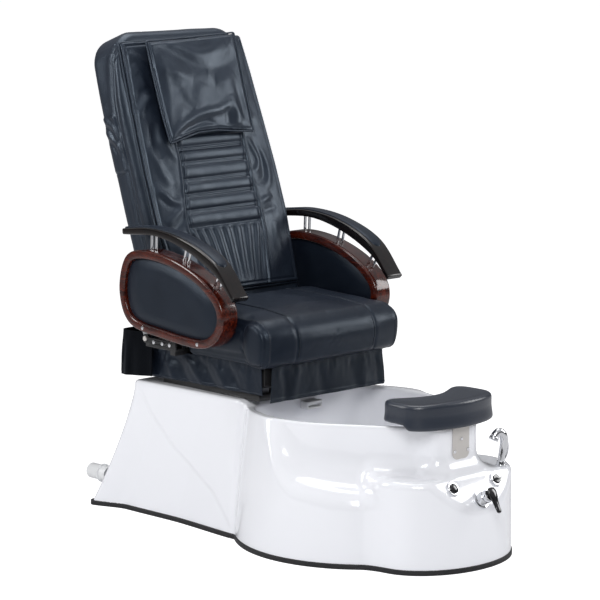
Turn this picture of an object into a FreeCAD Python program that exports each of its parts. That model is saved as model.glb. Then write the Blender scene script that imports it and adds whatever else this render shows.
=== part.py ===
"""Pedicure spa chair: a reclining massage armchair on a moulded foot-bath tub.

Millimetres. The origin is on the floor, on the centre plane, halfway along the tub's outline.
+Z is up, the foot bath and its controls are towards -Y, and +X is the sitter's left.
"""
import FreeCAD
import Part

import math
import os

Vec = FreeCAD.Vector

# ---- tub -------------------------------------------------------------------------------------
WALL = 6.0                  # thickness of the moulded outer shell
TRIM_HEIGHT = 15.0          # rubber strip round the foot of the tub
TRIM_PROUD = 2.0
DECK_Z = 410.0              # top of the deck that carries the seat
DECK_FRONT_Y = 50.0
PEDESTAL_FOOT = [(296.0, 50.0), (281.0, 321.0), (288.0, 552.0), (331.0, 682.0)]
PEDESTAL_TOP = [(257.0, 50.0), (262.0, 200.0), (272.0, 380.0), (280.0, 518.0)]
BULGE_R = 370.0             # round lower skirt of the foot bath
BULGE_Y = -190.0
LEDGE_Z = 205.0             # where that skirt turns in to the bath wall
LEDGE_RISE = 30.0
LEDGE_INSET = 55.0
NOSE_HALF_WIDTH = 236.0     # elliptical nose that carries the controls
NOSE_HALF_LENGTH = 173.0
NOSE_Y = -509.0
NOSE_TOP_Z = 262.0
RIM_Z = 392.0               # top of the bath rim
RIM_FLANGE = 6.0
BOWL_R = 297.0              # wide end of the egg-shaped bath wall
BOWL_Y = -130.0
COLUMN_R = 90.0             # narrow end, which carries the footrest
COLUMN_Y = -494.0
BASIN_GAP = 8.0             # air gap between the outer shell and the basin
BASIN_WALL = 5.0
BASIN_FLOOR_Z = 120.0
BASIN_FRONT_Y = -505.0      # front wall of the water space, behind the footrest post
DRAIN_Y = -200.0
JET_ANGLES = [-10.0, 28.0]  # whirlpool jets, degrees round the wide end of the bath
JET_Z = 200.0
JET_R = 15.0
DRAIN_R = 22.0
PLUG_STEM_R = 4.0
PIPE_X = -282.0             # waste outlet
PIPE_Z = 95.0
PIPE_R = 24.0
PIPE_START_Y = 634.0
PIPE_NUT_Y = 660.0
PIPE_END_Y = 718.0
FRAME_BAR = 30.0            # square steel bars under the tub
FRAME_RAIL_X = 155.0
DECK_POST_X = 200.0

# ---- sloping control console -----------------------------------------------------------------
CONSOLE_TILT = 31.0         # lean back from vertical, degrees
CONSOLE_TOP_Y = -600.0
CONSOLE_TOP_Z = 300.0
KNOB_X = 89.0
KNOB_Z = 235.0
KNOB_R = 14.0
BEZEL_R = 21.0
MIXER_Z = 195.0
SHOWER_X = 145.0
SHOWER_Y = -608.0
SHOWER_R = 10.0
SHOWER_NECK_Z = 348.0
MIXER_STEM_R = 9.0
MIXER_BODY_R = 20.0
MIXER_CAP_R = 19.0
MIXER_BODY_TOP = 28.0
MIXER_CAP_Z = (28.5, 45.0)
LEVER_PIN_R = 2.5
LEVER_PIN_UP = 11.0         # lever pin above the underside of the cap

# ---- footrest --------------------------------------------------------------------------------
POST_Y = -545.0
POST_R = 16.0
FOOTREST_BOTTOM_Z = 401.0
FOOTREST_TOP_Z = 472.0
FOOTREST_STEP = 10.0        # how far the pad's top is drawn in
BRACKET_Y = COLUMN_Y - COLUMN_R - 1.0
BRACKET_THICK = 3.0
BRACKET_SCREWS = [(0.0, 359.0), (27.0, 325.0), (-27.0, 325.0)]
SCREW_R = 2.5

# ---- pump ------------------------------------------------------------------------------------
PUMP_X = 90.0
PUMP_Z = 110.0
PUMP_Y = 240.0
PUMP_SHAFT_R = 6.0

# ---- seat ------------------------------------------------------------------------------------
SEAT_HALF_WIDTH = 276.0
CUSHION_BOTTOM_Z = 516.0
CUSHION_FRONT_Y = -90.0
CUSHION_CORNER_Y = -68.0
MOUNT_FRAME_TOP_Z = 430.0
RAIL_X = 200.0              # centre of each slide rail
RAIL_TOP_Z = 446.0
SEAT_FRAME_Z = 458.0
SEAT_FRAME_TOP_Z = 512.0
SKIRT_THICK = 5.0
RECLINE_Y = 360.0           # recline hinge axis, along X
RECLINE_Z = 540.0
RECLINE_PIN_R = 8.0
CRANK_DROP = 55.0           # recline crank length below the hinge axis
RECLINE_TUBE_R = 14.0
RECLINE_ROD_R = 9.0
CRANK_X = ((-14.0, -8.0), (8.0, 14.0))
CRANK_PIN_R = 5.0
ACTUATOR_X = 90.0           # drive of the seat slide
ACTUATOR_Z = 444.0
ACTUATOR_R = 12.0
ACTUATOR_ROD_R = 8.0

# ---- back ------------------------------------------------------------------------------------
BACK_TILT = 19.5            # lean back from vertical at rest, degrees
BACK_ORIGIN = Vec(0, 330.0, 680.0)   # where the back's front face meets the seat
BACK_HALF_WIDTH = 268.0
BACK_TOP = 848.0            # distances u up the back and v towards its rear
BACK_BOTTOM = -90.0
BACK_CORNER_R = 110.0
FLAP_THICK = 22.0
BOLSTER_FRONT = 24.0
BOLSTER_MIDDLE = 72.0       # in front of this the bolster's edge is drawn in
BOLSTER_STEP = 18.0
BOLSTER_BOTTOM = -68.0      # clear of the hinge plates
SHELL_FRONT = 112.0
BACK_REAR = 175.0
SHELL_WALL = 5.0
CHANNEL_HALF_WIDTH = 95.0   # slot in the foam for the massage rollers
CHANNEL_BOTTOM = 60.0
CHANNEL_TOP = 660.0
MASSAGE_RAIL_X = 110.0
MASSAGE_RAIL_V = 128.0
MASSAGE_RAIL_R = 8.0
MASSAGE_U = 340.0           # carriage at rest
ROLLER_V = 66.0
ROLLER_R = 34.0
ROLLER_AXLE_R = 5.0
HINGE_PLATE_X = (236.0, 246.0)
TORQUE_ARM_X = 205.0

# ---- arms ------------------------------------------------------------------------------------
ARM_INNER_X = 282.0
ARM_OUTER_X = 346.0
ARM_BAND = 26.0             # width of the oval wooden ring
ARM_WEB = (309.0, 319.0)    # board that closes the ring, between the two leather pads
ARM_PIVOT_Y = 400.0
ARM_PIVOT_Z = 558.0
ARM_PIN_R = 5.0
ARM_POST_R = 4.5
ARM_POST_SPACING = 20.0
RAIL_GAP = 46.0             # between the ring and the arm rail above it
ARM_RAIL_INNER_X = 286.0
ARM_LUG_X = (300.0, 316.0)
BRACKET_PLATES_X = ((290.0, 298.0), (318.0, 326.0))
BRACKET_BOLTS_Y = (288.0, 321.0, 360.0)
BRACKET_BOLT_Z = 552.0
# side outlines as (y, z)
ARM_OVAL = [(475, 795), (397, 827), (257, 815), (122, 767), (42, 697), (46, 617), (125, 564),
            (300, 571), (453, 598), (501, 690)]
ARM_RAIL_TOP = [(481, 884), (350, 896), (211, 879), (77, 826), (-16, 727)]
ARM_RAIL_BOTTOM = [(-6, 716), (64, 785), (189, 844), (327, 874), (479, 866)]
# (y, z, lean of the post from vertical towards the front, degrees) on top of the ring
ARM_POST_PAIRS = [(372, 826, 2.0), (225, 806.5, 14.8), (90, 747, 31.9)]

RUNNING = 0.05              # radial clearance of a shaft in its bore

# turns a (y, z) outline, drawn in the XY plane and extruded along Z, to run along X
SIDEWAYS = FreeCAD.Placement(Vec(0, 0, 0), FreeCAD.Rotation(Vec(1, 1, 1), 120))
# turns a (v, u) outline, extruded along Z, so that the extrusion runs along X
UPRIGHT_SIDE = FreeCAD.Placement(Vec(0, 0, 0), FreeCAD.Rotation(Vec(0, 1, 0), 90))
# places (x, u, -v) coordinates of the back in the chair
BACK_FRAME = FreeCAD.Placement(BACK_ORIGIN, FreeCAD.Rotation(Vec(1, 0, 0), 90.0 - BACK_TILT))


# ---- building blocks -------------------------------------------------------------------------
def box(x0, x1, y0, y1, z0, z1):
    """A block between two corners."""
    return Part.makeBox(x1 - x0, y1 - y0, z1 - z0, Vec(x0, y0, z0))


def rod(start, end, radius):
    """A solid round bar from one point to another."""
    axis = end - start
    return Part.makeCylinder(radius, axis.Length, start, axis)


def fuse(shapes):
    """One solid from touching or overlapping shapes."""
    whole = shapes[0]
    for shape in shapes[1:]:
        whole = whole.fuse(shape)
    return whole.removeSplitter()


def both_sides(shape):
    """The shape and its mirror image in the centre plane."""
    return [shape, mirrored(shape)]


def mirrored(shape):
    return shape.mirror(Vec(0, 0, 0), Vec(1, 0, 0))


def moved(shape, placement):
    """A copy of the shape, carried by a placement."""
    copy = shape.copy()
    copy.Placement = placement.multiply(copy.Placement)
    return copy


def polygon_face(points, z=0.0):
    """A flat face in a plane of constant Z from (x, y) corners."""
    corners = [Vec(x, y, z) for x, y in points]
    return Part.Face(Part.makePolygon(corners + corners[:1]))


def symmetric_face(half, z=0.0):
    """A face from the corners of its +X half, listed from front to rear."""
    return polygon_face(half + [(-x, y) for x, y in reversed(half)], z)


def prism(face, z0, z1):
    """The face, drawn at Z zero, extruded between two heights."""
    base = face.copy()
    base.translate(Vec(0, 0, z0))
    return base.extrude(Vec(0, 0, z1 - z0))


def side_slab(face, x0, x1):
    """A (y, z) outline, drawn as an (x, y) face, extruded along X."""
    return moved(prism(face, x0, x1), SIDEWAYS)


def spline_edge(points):
    curve = Part.BSplineCurve()
    curve.interpolate([Vec(x, y, 0) for x, y in points])
    return curve.toShape()


def closed_spline_face(points):
    curve = Part.BSplineCurve()
    curve.interpolate([Vec(x, y, 0) for x, y in points], PeriodicFlag=True)
    return Part.Face(Part.Wire(curve.toShape()))


def inset_points(points, distance):
    """Points of a counter-clockwise loop, each moved inwards square to its neighbours' chord."""
    moved_in = []
    for index, (x, y) in enumerate(points):
        x0, y0 = points[index - 1]
        x1, y1 = points[(index + 1) % len(points)]
        chord = math.hypot(x1 - x0, y1 - y0)
        moved_in.append((x - distance * (y1 - y0) / chord, y + distance * (x1 - x0) / chord))
    return moved_in


# ---- tub -------------------------------------------------------------------------------------
def pedestal(inset, z0, z1):
    """The flared block under the seat, with its sides pulled in by inset."""
    wires = []
    for half, z in ((PEDESTAL_FOOT, z0), (PEDESTAL_TOP, z1)):
        rear_y = half[-1][1]
        pulled = [(x - inset, y) for x, y in half]
        pulled[0] = (pulled[0][0], half[0][1] + inset)
        pulled[-1] = (pulled[-1][0], rear_y - inset)
        wires.append(symmetric_face(pulled, z).OuterWire)
    return Part.makeLoft(wires, True, True)


def bulge(inset, z0, z1):
    """The round lower skirt, whose top turns in towards the bath wall."""
    radius = BULGE_R - inset
    centre = Vec(0, BULGE_Y, z0)
    drum = Part.makeCylinder(radius, z1 - z0, centre)
    if z1 < LEDGE_Z - WALL:
        return drum
    shoulder = Part.makeCone(radius, radius - LEDGE_INSET, LEDGE_RISE, Vec(0, BULGE_Y, z1))
    return drum.fuse(shoulder)


def console_slope(distance):
    """(y, z) of the point this far down the console from its top edge."""
    lean = math.radians(CONSOLE_TILT)
    return (CONSOLE_TOP_Y - distance * math.sin(lean), CONSOLE_TOP_Z - distance * math.cos(lean))


def nose(inset, z0, z1):
    """The elliptical nose, cut off by the sloping console."""
    ellipse = Part.Ellipse(Vec(0, NOSE_Y, 0), NOSE_HALF_WIDTH - inset, NOSE_HALF_LENGTH - inset)
    body = prism(Part.Face(Part.Wire(ellipse.toShape())), z0, z1)
    top = console_slope(-200.0)
    bottom = console_slope(400.0)
    far_y = NOSE_Y - 2.0 * NOSE_HALF_LENGTH
    lean = math.radians(CONSOLE_TILT)
    back_off = (inset * math.cos(lean), -inset * math.sin(lean))
    outline = [top, bottom, (far_y, bottom[1]), (far_y, top[1])]
    outline = [(y + back_off[0], z + back_off[1]) for y, z in outline]
    cutter = side_slab(polygon_face(outline), -NOSE_HALF_WIDTH - 10.0, NOSE_HALF_WIDTH + 10.0)
    return body.cut(cutter)


def egg_face(inset):
    """The bath outline: a wide round end and a narrow one, joined by tangents."""
    big = BOWL_R - inset
    small = COLUMN_R - inset
    sine = (big - small) / (BOWL_Y - COLUMN_Y)
    cosine = math.sqrt(1.0 - sine * sine)
    wide = Vec(big * cosine, BOWL_Y - big * sine, 0)
    narrow = Vec(small * cosine, COLUMN_Y - small * sine, 0)
    wide_far = Vec(-wide.x, wide.y, 0)
    narrow_far = Vec(-narrow.x, narrow.y, 0)
    edges = [
        Part.Arc(wide, Vec(0, BOWL_Y + big, 0), wide_far).toShape(),
        Part.makeLine(wide_far, narrow_far),
        Part.Arc(narrow_far, Vec(0, COLUMN_Y - small, 0), narrow).toShape(),
        Part.makeLine(narrow, wide),
    ]
    return Part.Face(Part.Wire(edges))


def bath_block(inset, z0, z1, front_y, rear_y):
    """A stretch of the bath outline between two heights, clipped at its front and rear."""
    clip = box(-BOWL_R, BOWL_R, front_y, rear_y, z0, z1)
    return prism(egg_face(inset), z0, z1).common(clip)


def tub_outside():
    """The tub's outer form, solid."""
    bath = bath_block(0.0, 0.0, RIM_Z - RIM_FLANGE, COLUMN_Y - COLUMN_R, BOWL_Y + BOWL_R)
    return fuse([pedestal(0.0, 0.0, DECK_Z), bulge(0.0, 0.0, LEDGE_Z), nose(0.0, 0.0, NOSE_TOP_Z),
                 bath])


def tub_inside():
    """The hollow under the deck and round the basin, open at the floor and at the bath."""
    under = -1.0
    inside_bath = bath_block(WALL, under, RIM_Z, COLUMN_Y - COLUMN_R, DECK_FRONT_Y - 0.5)
    return fuse([pedestal(WALL, under, DECK_Z - WALL), bulge(WALL, under, LEDGE_Z - WALL),
                 nose(WALL, under, NOSE_TOP_Z - WALL), inside_bath])


def console_frame(x, z):
    """A frame on the console face: +X across, +Y up the slope, +Z out of it."""
    lean = math.radians(CONSOLE_TILT)
    y = CONSOLE_TOP_Y - (CONSOLE_TOP_Z - z) * math.tan(lean)
    return FreeCAD.Placement(Vec(x, y, z), FreeCAD.Rotation(Vec(1, 0, 0), 90.0 - CONSOLE_TILT))


def on_console(shape, x, z):
    return moved(shape, console_frame(x, z))


def upright(radius, z0, z1, x=0.0, y=0.0):
    """A vertical cylinder."""
    return Part.makeCylinder(radius, z1 - z0, Vec(x, y, z0))


def base_shell():
    """Moulded outer shell of the tub, with the openings for what passes through it."""
    shell = tub_outside().cut(tub_inside())
    openings = [on_console(upright(KNOB_R + 1.0, -20, 5), side * KNOB_X, KNOB_Z) for side in (-1, 1)]
    openings.append(on_console(upright(12.0, -20, 5), 0, MIXER_Z))
    openings.append(upright(SHOWER_R + 3.0, NOSE_TOP_Z - 20, NOSE_TOP_Z + 1, SHOWER_X, SHOWER_Y))
    openings.append(rod(Vec(PIPE_X, 600, PIPE_Z), Vec(PIPE_X, 700, PIPE_Z), PIPE_R + 0.5))
    for x, z in BRACKET_SCREWS:
        openings.append(rod(Vec(x, BRACKET_Y, z), Vec(x, BRACKET_Y + 25, z), SCREW_R + 0.3))
    for opening in openings:
        shell = shell.cut(opening)
    return shell


def jet_axis(angle):
    """Unit vector from the bath's centre line out through a jet."""
    return Vec(math.cos(math.radians(angle)), math.sin(math.radians(angle)), 0)


def basin():
    """Foot basin: a flanged bowl hung in the shell."""
    outer_inset = WALL + BASIN_GAP
    inner_inset = outer_inset + BASIN_WALL
    flange_z = RIM_Z - RIM_FLANGE
    flange = bath_block(0.0, flange_z, RIM_Z, COLUMN_Y - COLUMN_R, DECK_FRONT_Y - 0.5)
    bowl = bath_block(outer_inset, BASIN_FLOOR_Z, RIM_Z, BASIN_FRONT_Y - BASIN_WALL,
                      DECK_FRONT_Y - WALL)
    water = bath_block(inner_inset, BASIN_FLOOR_Z + BASIN_WALL, RIM_Z + 1, BASIN_FRONT_Y,
                       DECK_FRONT_Y - WALL - BASIN_WALL)
    shape = flange.fuse(bowl).cut(water)
    shape = shape.cut(upright(DRAIN_R + 0.1, BASIN_FLOOR_Z - 1, BASIN_FLOOR_Z + 10, 0, DRAIN_Y))
    shape = shape.cut(upright(POST_R + RUNNING, flange_z - 1, RIM_Z + 1, 0, POST_Y))
    for angle in JET_ANGLES:
        axis = jet_axis(angle)
        centre = Vec(0, BOWL_Y, JET_Z)
        hole = rod(centre + axis * (BOWL_R - 40), centre + axis * (BOWL_R - 8), JET_R + 0.3)
        for opening in both_sides(hole):
            shape = shape.cut(opening)
    return shape.removeSplitter()


def rubber_trim():
    """Black rubber strip round the foot of the tub."""
    outset = fuse([pedestal(-TRIM_PROUD, 0.0, DECK_Z), bulge(-TRIM_PROUD, 0.0, TRIM_HEIGHT),
                   nose(-TRIM_PROUD, 0.0, TRIM_HEIGHT)])
    slab = box(-BULGE_R - 5, BULGE_R + 5, NOSE_Y - 2 * NOSE_HALF_LENGTH, 700, 0, TRIM_HEIGHT)
    return outset.common(slab).cut(tub_outside())


def base_frame():
    """Welded steel frame that stands on the floor and carries the deck and the basin."""
    half = FRAME_BAR / 2
    bars = [box(x - half, x + half, -400, 600, 0, FRAME_BAR) for x in (-FRAME_RAIL_X, FRAME_RAIL_X)]
    for y in (-385, 0, 110, 480, 585):
        bars.append(box(-DECK_POST_X - half, DECK_POST_X + half, y - half, y + half, 0, FRAME_BAR))
    for x in (-DECK_POST_X, DECK_POST_X):
        for y in (110, 480):
            bars.append(box(x - half, x + half, y - half, y + half, 0, DECK_Z - WALL))
    for x in (-FRAME_RAIL_X, FRAME_RAIL_X):
        for y in (-300, 0):
            bars.append(box(x - half, x + half, y - half, y + half, 0, BASIN_FLOOR_Z))
    return fuse(bars)


def drain_pipe():
    """Waste outlet stub through the rear wall, near a corner."""
    pipe = rod(Vec(PIPE_X, PIPE_START_Y, PIPE_Z), Vec(PIPE_X, PIPE_END_Y, PIPE_Z), PIPE_R)
    nut = rod(Vec(PIPE_X, PIPE_NUT_Y, PIPE_Z), Vec(PIPE_X, PIPE_NUT_Y + 5, PIPE_Z), PIPE_R + 5)
    outer = fuse([pipe, nut])
    bore = rod(Vec(PIPE_X, PIPE_START_Y - 1, PIPE_Z), Vec(PIPE_X, PIPE_END_Y + 1, PIPE_Z), PIPE_R - 4)
    return outer.cut(bore)


def drain_body():
    """Basin waste: a flanged tail with a bridge that guides the plug's stem."""
    floor_top = BASIN_FLOOR_Z + BASIN_WALL
    flange = upright(DRAIN_R + 10, floor_top, floor_top + 3, 0, DRAIN_Y)
    tail = upright(DRAIN_R, 70, floor_top, 0, DRAIN_Y)
    shape = flange.fuse(tail).cut(upright(DRAIN_R - 4, 60, floor_top + 5, 0, DRAIN_Y))
    bridge = box(-DRAIN_R + 2, DRAIN_R - 2, DRAIN_Y - 4, DRAIN_Y + 4, 95, 101)
    hub = upright(8, 95, 101, 0, DRAIN_Y)
    shape = fuse([shape, bridge, hub])
    return shape.cut(upright(PLUG_STEM_R + RUNNING, 90, 105, 0, DRAIN_Y))


def drain_plug():
    """Pop-up plug on its stem."""
    disc_z = BASIN_FLOOR_Z + BASIN_WALL + 3.5
    disc = upright(DRAIN_R + 2, disc_z, disc_z + 3, 0, DRAIN_Y)
    dome = Part.makeCone(DRAIN_R + 2, DRAIN_R - 6, 2.5, Vec(0, DRAIN_Y, disc_z + 3))
    return fuse([disc, dome, upright(PLUG_STEM_R, 80, disc_z, 0, DRAIN_Y)])


def jet_nozzles():
    """Whirlpool jets through the basin's side walls."""
    face_r = BOWL_R - WALL - BASIN_GAP - BASIN_WALL
    nozzles = []
    for angle in JET_ANGLES:
        axis = jet_axis(angle)
        centre = Vec(0, BOWL_Y, JET_Z)
        flange = rod(centre + axis * (face_r - 7), centre + axis * (face_r - 1.5), JET_R + 9)
        barrel = rod(centre + axis * (face_r - 3), centre + axis * (face_r + 11), JET_R)
        mouth = rod(centre + axis * (face_r - 8), centre + axis * (face_r + 12), JET_R - 8)
        nozzles += both_sides(flange.fuse(barrel).cut(mouth))
    return Part.makeCompound(nozzles)


def waterfall_spout():
    """Flat filling spout on the basin's rear wall."""
    wall_y = DECK_FRONT_Y - WALL - BASIN_WALL
    block = box(-30, 30, wall_y - 32, wall_y, 357, 380)
    return block.cut(box(-26, 26, wall_y - 33, wall_y - 8, 361, 369))


def footrest_bracket():
    """Stainless angle plate on the column's front and top."""
    face = box(-33, 33, BRACKET_Y - BRACKET_THICK, BRACKET_Y, 301, RIM_Z + 2)
    corners = [edge for edge in face.Edges
               if edge.BoundBox.ZMax < 302 and abs(edge.BoundBox.YLength - BRACKET_THICK) < 0.1]
    face = face.makeFillet(18, corners)
    top = box(-33, 33, BRACKET_Y, -512, RIM_Z, RIM_Z + 2)
    plate = fuse([face, top]).cut(upright(POST_R + 3, RIM_Z - 1, RIM_Z + 3, 0, POST_Y))
    for x, z in BRACKET_SCREWS:
        plate = plate.cut(rod(Vec(x, BRACKET_Y - 5, z), Vec(x, BRACKET_Y + 1, z), SCREW_R + 0.3))
    return plate


def bracket_screws():
    """Pan-head screws of the footrest bracket."""
    screws = []
    for x, z in BRACKET_SCREWS:
        front = BRACKET_Y - BRACKET_THICK
        head = rod(Vec(x, front - 2.5, z), Vec(x, front, z), 5.0)
        screws.append(head.fuse(rod(Vec(x, front, z), Vec(x, front + 22, z), SCREW_R)))
    return Part.makeCompound(screws)


def footrest_guide():
    """Tube in the column that guides the footrest post."""
    tube = upright(POST_R + 4, 240, RIM_Z - RIM_FLANGE, 0, POST_Y)
    return tube.cut(upright(POST_R + RUNNING, 230, RIM_Z, 0, POST_Y))


def footrest_post():
    """Height-adjusting post welded to the plate that carries the pad."""
    post = upright(POST_R, 210, FOOTREST_BOTTOM_Z - 5, 0, POST_Y)
    plate = box(-90, 90, -588, -490, FOOTREST_BOTTOM_Z - 5, FOOTREST_BOTTOM_Z)
    return fuse([post, plate])


def footrest_face(inset):
    """C-shaped pad outline, hollow towards the sitter."""
    side = [Vec(170 - inset, -560 + inset, 0), Vec(168 - inset, -450, 0)]
    tip = [side[1], Vec(152 - inset / 2, -425 - inset, 0), Vec(118 + inset / 2, -426 - inset, 0)]
    front = Vec(0, -610 + inset, 0)
    hollow = Vec(0, -470 - inset, 0)

    def flip(point):
        return Vec(-point.x, point.y, point.z)

    edges = [
        Part.Arc(flip(side[0]), front, side[0]).toShape(),
        Part.makeLine(side[0], side[1]),
        Part.Arc(tip[0], tip[1], tip[2]).toShape(),
        Part.Arc(tip[2], hollow, flip(tip[2])).toShape(),
        Part.Arc(flip(tip[2]), flip(tip[1]), flip(tip[0])).toShape(),
        Part.makeLine(flip(side[1]), flip(side[0])),
    ]
    return Part.Face(Part.Wire(edges))


def footrest_pad():
    """Moulded foam foot pad, drawn in at its top."""
    step_z = FOOTREST_TOP_Z - FOOTREST_STEP
    body = prism(footrest_face(0.0), FOOTREST_BOTTOM_Z, step_z)
    return fuse([body, prism(footrest_face(FOOTREST_STEP), step_z, FOOTREST_TOP_Z)])


# ---- controls --------------------------------------------------------------------------------
def knob_bezels():
    """Chrome rings round the two console knobs."""
    ring = upright(BEZEL_R, 0, 6).cut(upright(KNOB_R + RUNNING, -1, 7))
    sleeve = upright(KNOB_R + 0.9, -12, 0).cut(upright(KNOB_R + RUNNING, -13, 1))
    bezel = fuse([ring, sleeve])
    return Part.makeCompound([on_console(bezel, side * KNOB_X, KNOB_Z) for side in (-1, 1)])


def air_button():
    """Push button of the whirlpool's air switch."""
    button = fuse([upright(KNOB_R, -10, 9), Part.makeCone(KNOB_R, KNOB_R - 3, 2, Vec(0, 0, 9))])
    return on_console(button, -KNOB_X, KNOB_Z)


def drain_knob():
    """Turning knob of the pop-up drain, with a grip rib."""
    knob = upright(KNOB_R, -10, 8)
    rib = box(-11, 11, -3, 3, 8, 15)
    return on_console(fuse([knob, rib]), KNOB_X, KNOB_Z)


def mixer_base():
    """Escutcheon and body of the single-lever water mixer."""
    plate = upright(26, 0, 6)
    body = upright(MIXER_BODY_R, 6, MIXER_BODY_TOP)
    shank = upright(11.5, -12, 0)
    bore = upright(MIXER_STEM_R + RUNNING, 8, MIXER_BODY_TOP + 1)
    return on_console(fuse([plate, body, shank]).cut(bore), 0, MIXER_Z)


def mixer_cap():
    """Cap that turns on the mixer body and carries the lever."""
    low, high = MIXER_CAP_Z
    cap = fuse([upright(MIXER_STEM_R, 10, low), upright(MIXER_CAP_R, low, high)])
    slot = box(-4, 4, -MIXER_CAP_R - 1, MIXER_CAP_R + 1, low + 5, high + 1)
    pin_z = low + LEVER_PIN_UP
    bore = rod(Vec(-20, 0, pin_z), Vec(20, 0, pin_z), LEVER_PIN_R + RUNNING)
    return on_console(cap.cut(slot).cut(bore), 0, MIXER_Z)


def mixer_lever():
    """Flow lever hinged in the cap, with a blade that points down the console."""
    low, high = MIXER_CAP_Z
    pin_z = low + LEVER_PIN_UP
    tongue = box(-3.5, 3.5, -8, 8, low + 8, high + 4)
    pin = rod(Vec(-16, 0, pin_z), Vec(16, 0, pin_z), LEVER_PIN_R)
    outline = [(-58, high + 1), (0, high + 1), (20, high + 8), (20, high + 11), (-58, high + 8)]
    blade = side_slab(polygon_face(outline), -9, 9)
    return on_console(fuse([tongue, pin, blade]), 0, MIXER_Z)


def shower_holder():
    """Socket on the console's shoulder for the hand shower."""
    flange = upright(15, NOSE_TOP_Z, NOSE_TOP_Z + 4, SHOWER_X, SHOWER_Y)
    cup = upright(SHOWER_R + 2.5, NOSE_TOP_Z - 20, NOSE_TOP_Z + 14, SHOWER_X, SHOWER_Y)
    bore = upright(SHOWER_R + RUNNING, NOSE_TOP_Z - 25, NOSE_TOP_Z + 20, SHOWER_X, SHOWER_Y)
    return fuse([flange, cup]).cut(bore)


def handshower():
    """Pull-out hand shower with a short bent head."""
    stem = upright(SHOWER_R, NOSE_TOP_Z - 15, 300, SHOWER_X, SHOWER_Y)
    neck = Vec(SHOWER_X, SHOWER_Y, SHOWER_NECK_Z)
    grip = Part.makeCone(SHOWER_R + 2, SHOWER_R, SHOWER_NECK_Z - 300, Vec(SHOWER_X, SHOWER_Y, 300))
    bend = neck + Vec(-9, 2, 16)
    head = rod(neck, bend, SHOWER_R - 1)
    tip = Part.makeCone(SHOWER_R, SHOWER_R + 3, 9, bend, Vec(-9, 2, 4))
    return fuse([stem, grip, Part.makeSphere(9.5, neck), head, tip])


def shower_hose():
    """Hose that follows the hand shower out of the console."""
    return upright(6, 45, NOSE_TOP_Z - 15, SHOWER_X, SHOWER_Y)


# ---- pump and power --------------------------------------------------------------------------
def along_y(radius, y0, y1, x=PUMP_X, z=PUMP_Z):
    return rod(Vec(x, y0, z), Vec(x, y1, z), radius)


def pump_housing():
    """Whirlpool pump: volute and motor in one casing, on a foot bracket."""
    casing = fuse([along_y(50, PUMP_Y, PUMP_Y + 60), along_y(45, PUMP_Y + 60, PUMP_Y + 180),
                   box(PUMP_X - 35, PUMP_X + 35, PUMP_Y + 20, PUMP_Y + 160, FRAME_BAR, PUMP_Z - 20)])
    casing = casing.cut(along_y(42, PUMP_Y + 6, PUMP_Y + 54))
    casing = casing.cut(along_y(16, PUMP_Y - 1, PUMP_Y + 10))
    return casing.cut(along_y(PUMP_SHAFT_R + RUNNING, PUMP_Y + 50, PUMP_Y + 160))


def pump_impeller():
    """Impeller and its shaft."""
    pieces = [along_y(38, PUMP_Y + 38, PUMP_Y + 42), along_y(PUMP_SHAFT_R, PUMP_Y + 12, PUMP_Y + 155)]
    for step in range(6):
        blade = box(PUMP_X + 4, PUMP_X + 37, PUMP_Y + 14, PUMP_Y + 39, PUMP_Z - 1.5, PUMP_Z + 1.5)
        blade.rotate(Vec(PUMP_X, 0, PUMP_Z), Vec(0, 1, 0), 60 * step)
        pieces.append(blade)
    return fuse(pieces)


def control_box():
    """Power supply and control unit under the deck."""
    case = box(-140, 0, 300, 420, 335, DECK_Z - WALL)
    return case.cut(box(-137, -3, 303, 417, 338, DECK_Z - WALL - 3))


# ---- seat base -------------------------------------------------------------------------------
def seat_mount_frame():
    """Black steel frame bolted to the deck."""
    return box(-235, 235, -3, 428, DECK_Z, MOUNT_FRAME_TOP_Z).cut(
        box(-165, 165, 60, 370, DECK_Z - 1, MOUNT_FRAME_TOP_Z + 1))


def slide_rails():
    """The two fixed rails of the seat slide."""
    rail = box(RAIL_X - 15, RAIL_X + 15, 10, 424, MOUNT_FRAME_TOP_Z, RAIL_TOP_Z)
    return Part.makeCompound(both_sides(rail))


def slide_carriages():
    """Four shoes that run on the rails."""
    shoes = []
    for y in (110, 300):
        shoe = box(RAIL_X - 20, RAIL_X + 20, y, y + 70, MOUNT_FRAME_TOP_Z + 6, SEAT_FRAME_Z)
        groove = box(RAIL_X - 15.5, RAIL_X + 15.5, y - 1, y + 71, MOUNT_FRAME_TOP_Z, RAIL_TOP_Z + 0.5)
        shoes += both_sides(shoe.cut(groove))
    return Part.makeCompound(shoes)


def slide_actuator_tube():
    """Motor and outer tube of the seat slide's linear drive."""
    motor = box(ACTUATOR_X - 20, ACTUATOR_X + 20, 375, 425, MOUNT_FRAME_TOP_Z, SEAT_FRAME_Z - 1)
    tube = rod(Vec(ACTUATOR_X, 190, ACTUATOR_Z), Vec(ACTUATOR_X, 380, ACTUATOR_Z), ACTUATOR_R)
    bore = rod(Vec(ACTUATOR_X, 189, ACTUATOR_Z), Vec(ACTUATOR_X, 370, ACTUATOR_Z),
               ACTUATOR_ROD_R + RUNNING)
    return fuse([motor, tube]).cut(bore)


def slide_actuator_rod():
    """Rod of the seat slide's drive, held by a tab under the seat frame."""
    bar = rod(Vec(ACTUATOR_X, 60, ACTUATOR_Z), Vec(ACTUATOR_X, 320, ACTUATOR_Z), ACTUATOR_ROD_R)
    tab = box(ACTUATOR_X - 15, ACTUATOR_X + 15, 50, 60, ACTUATOR_Z - 11, SEAT_FRAME_Z)
    return fuse([bar, tab])


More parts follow.
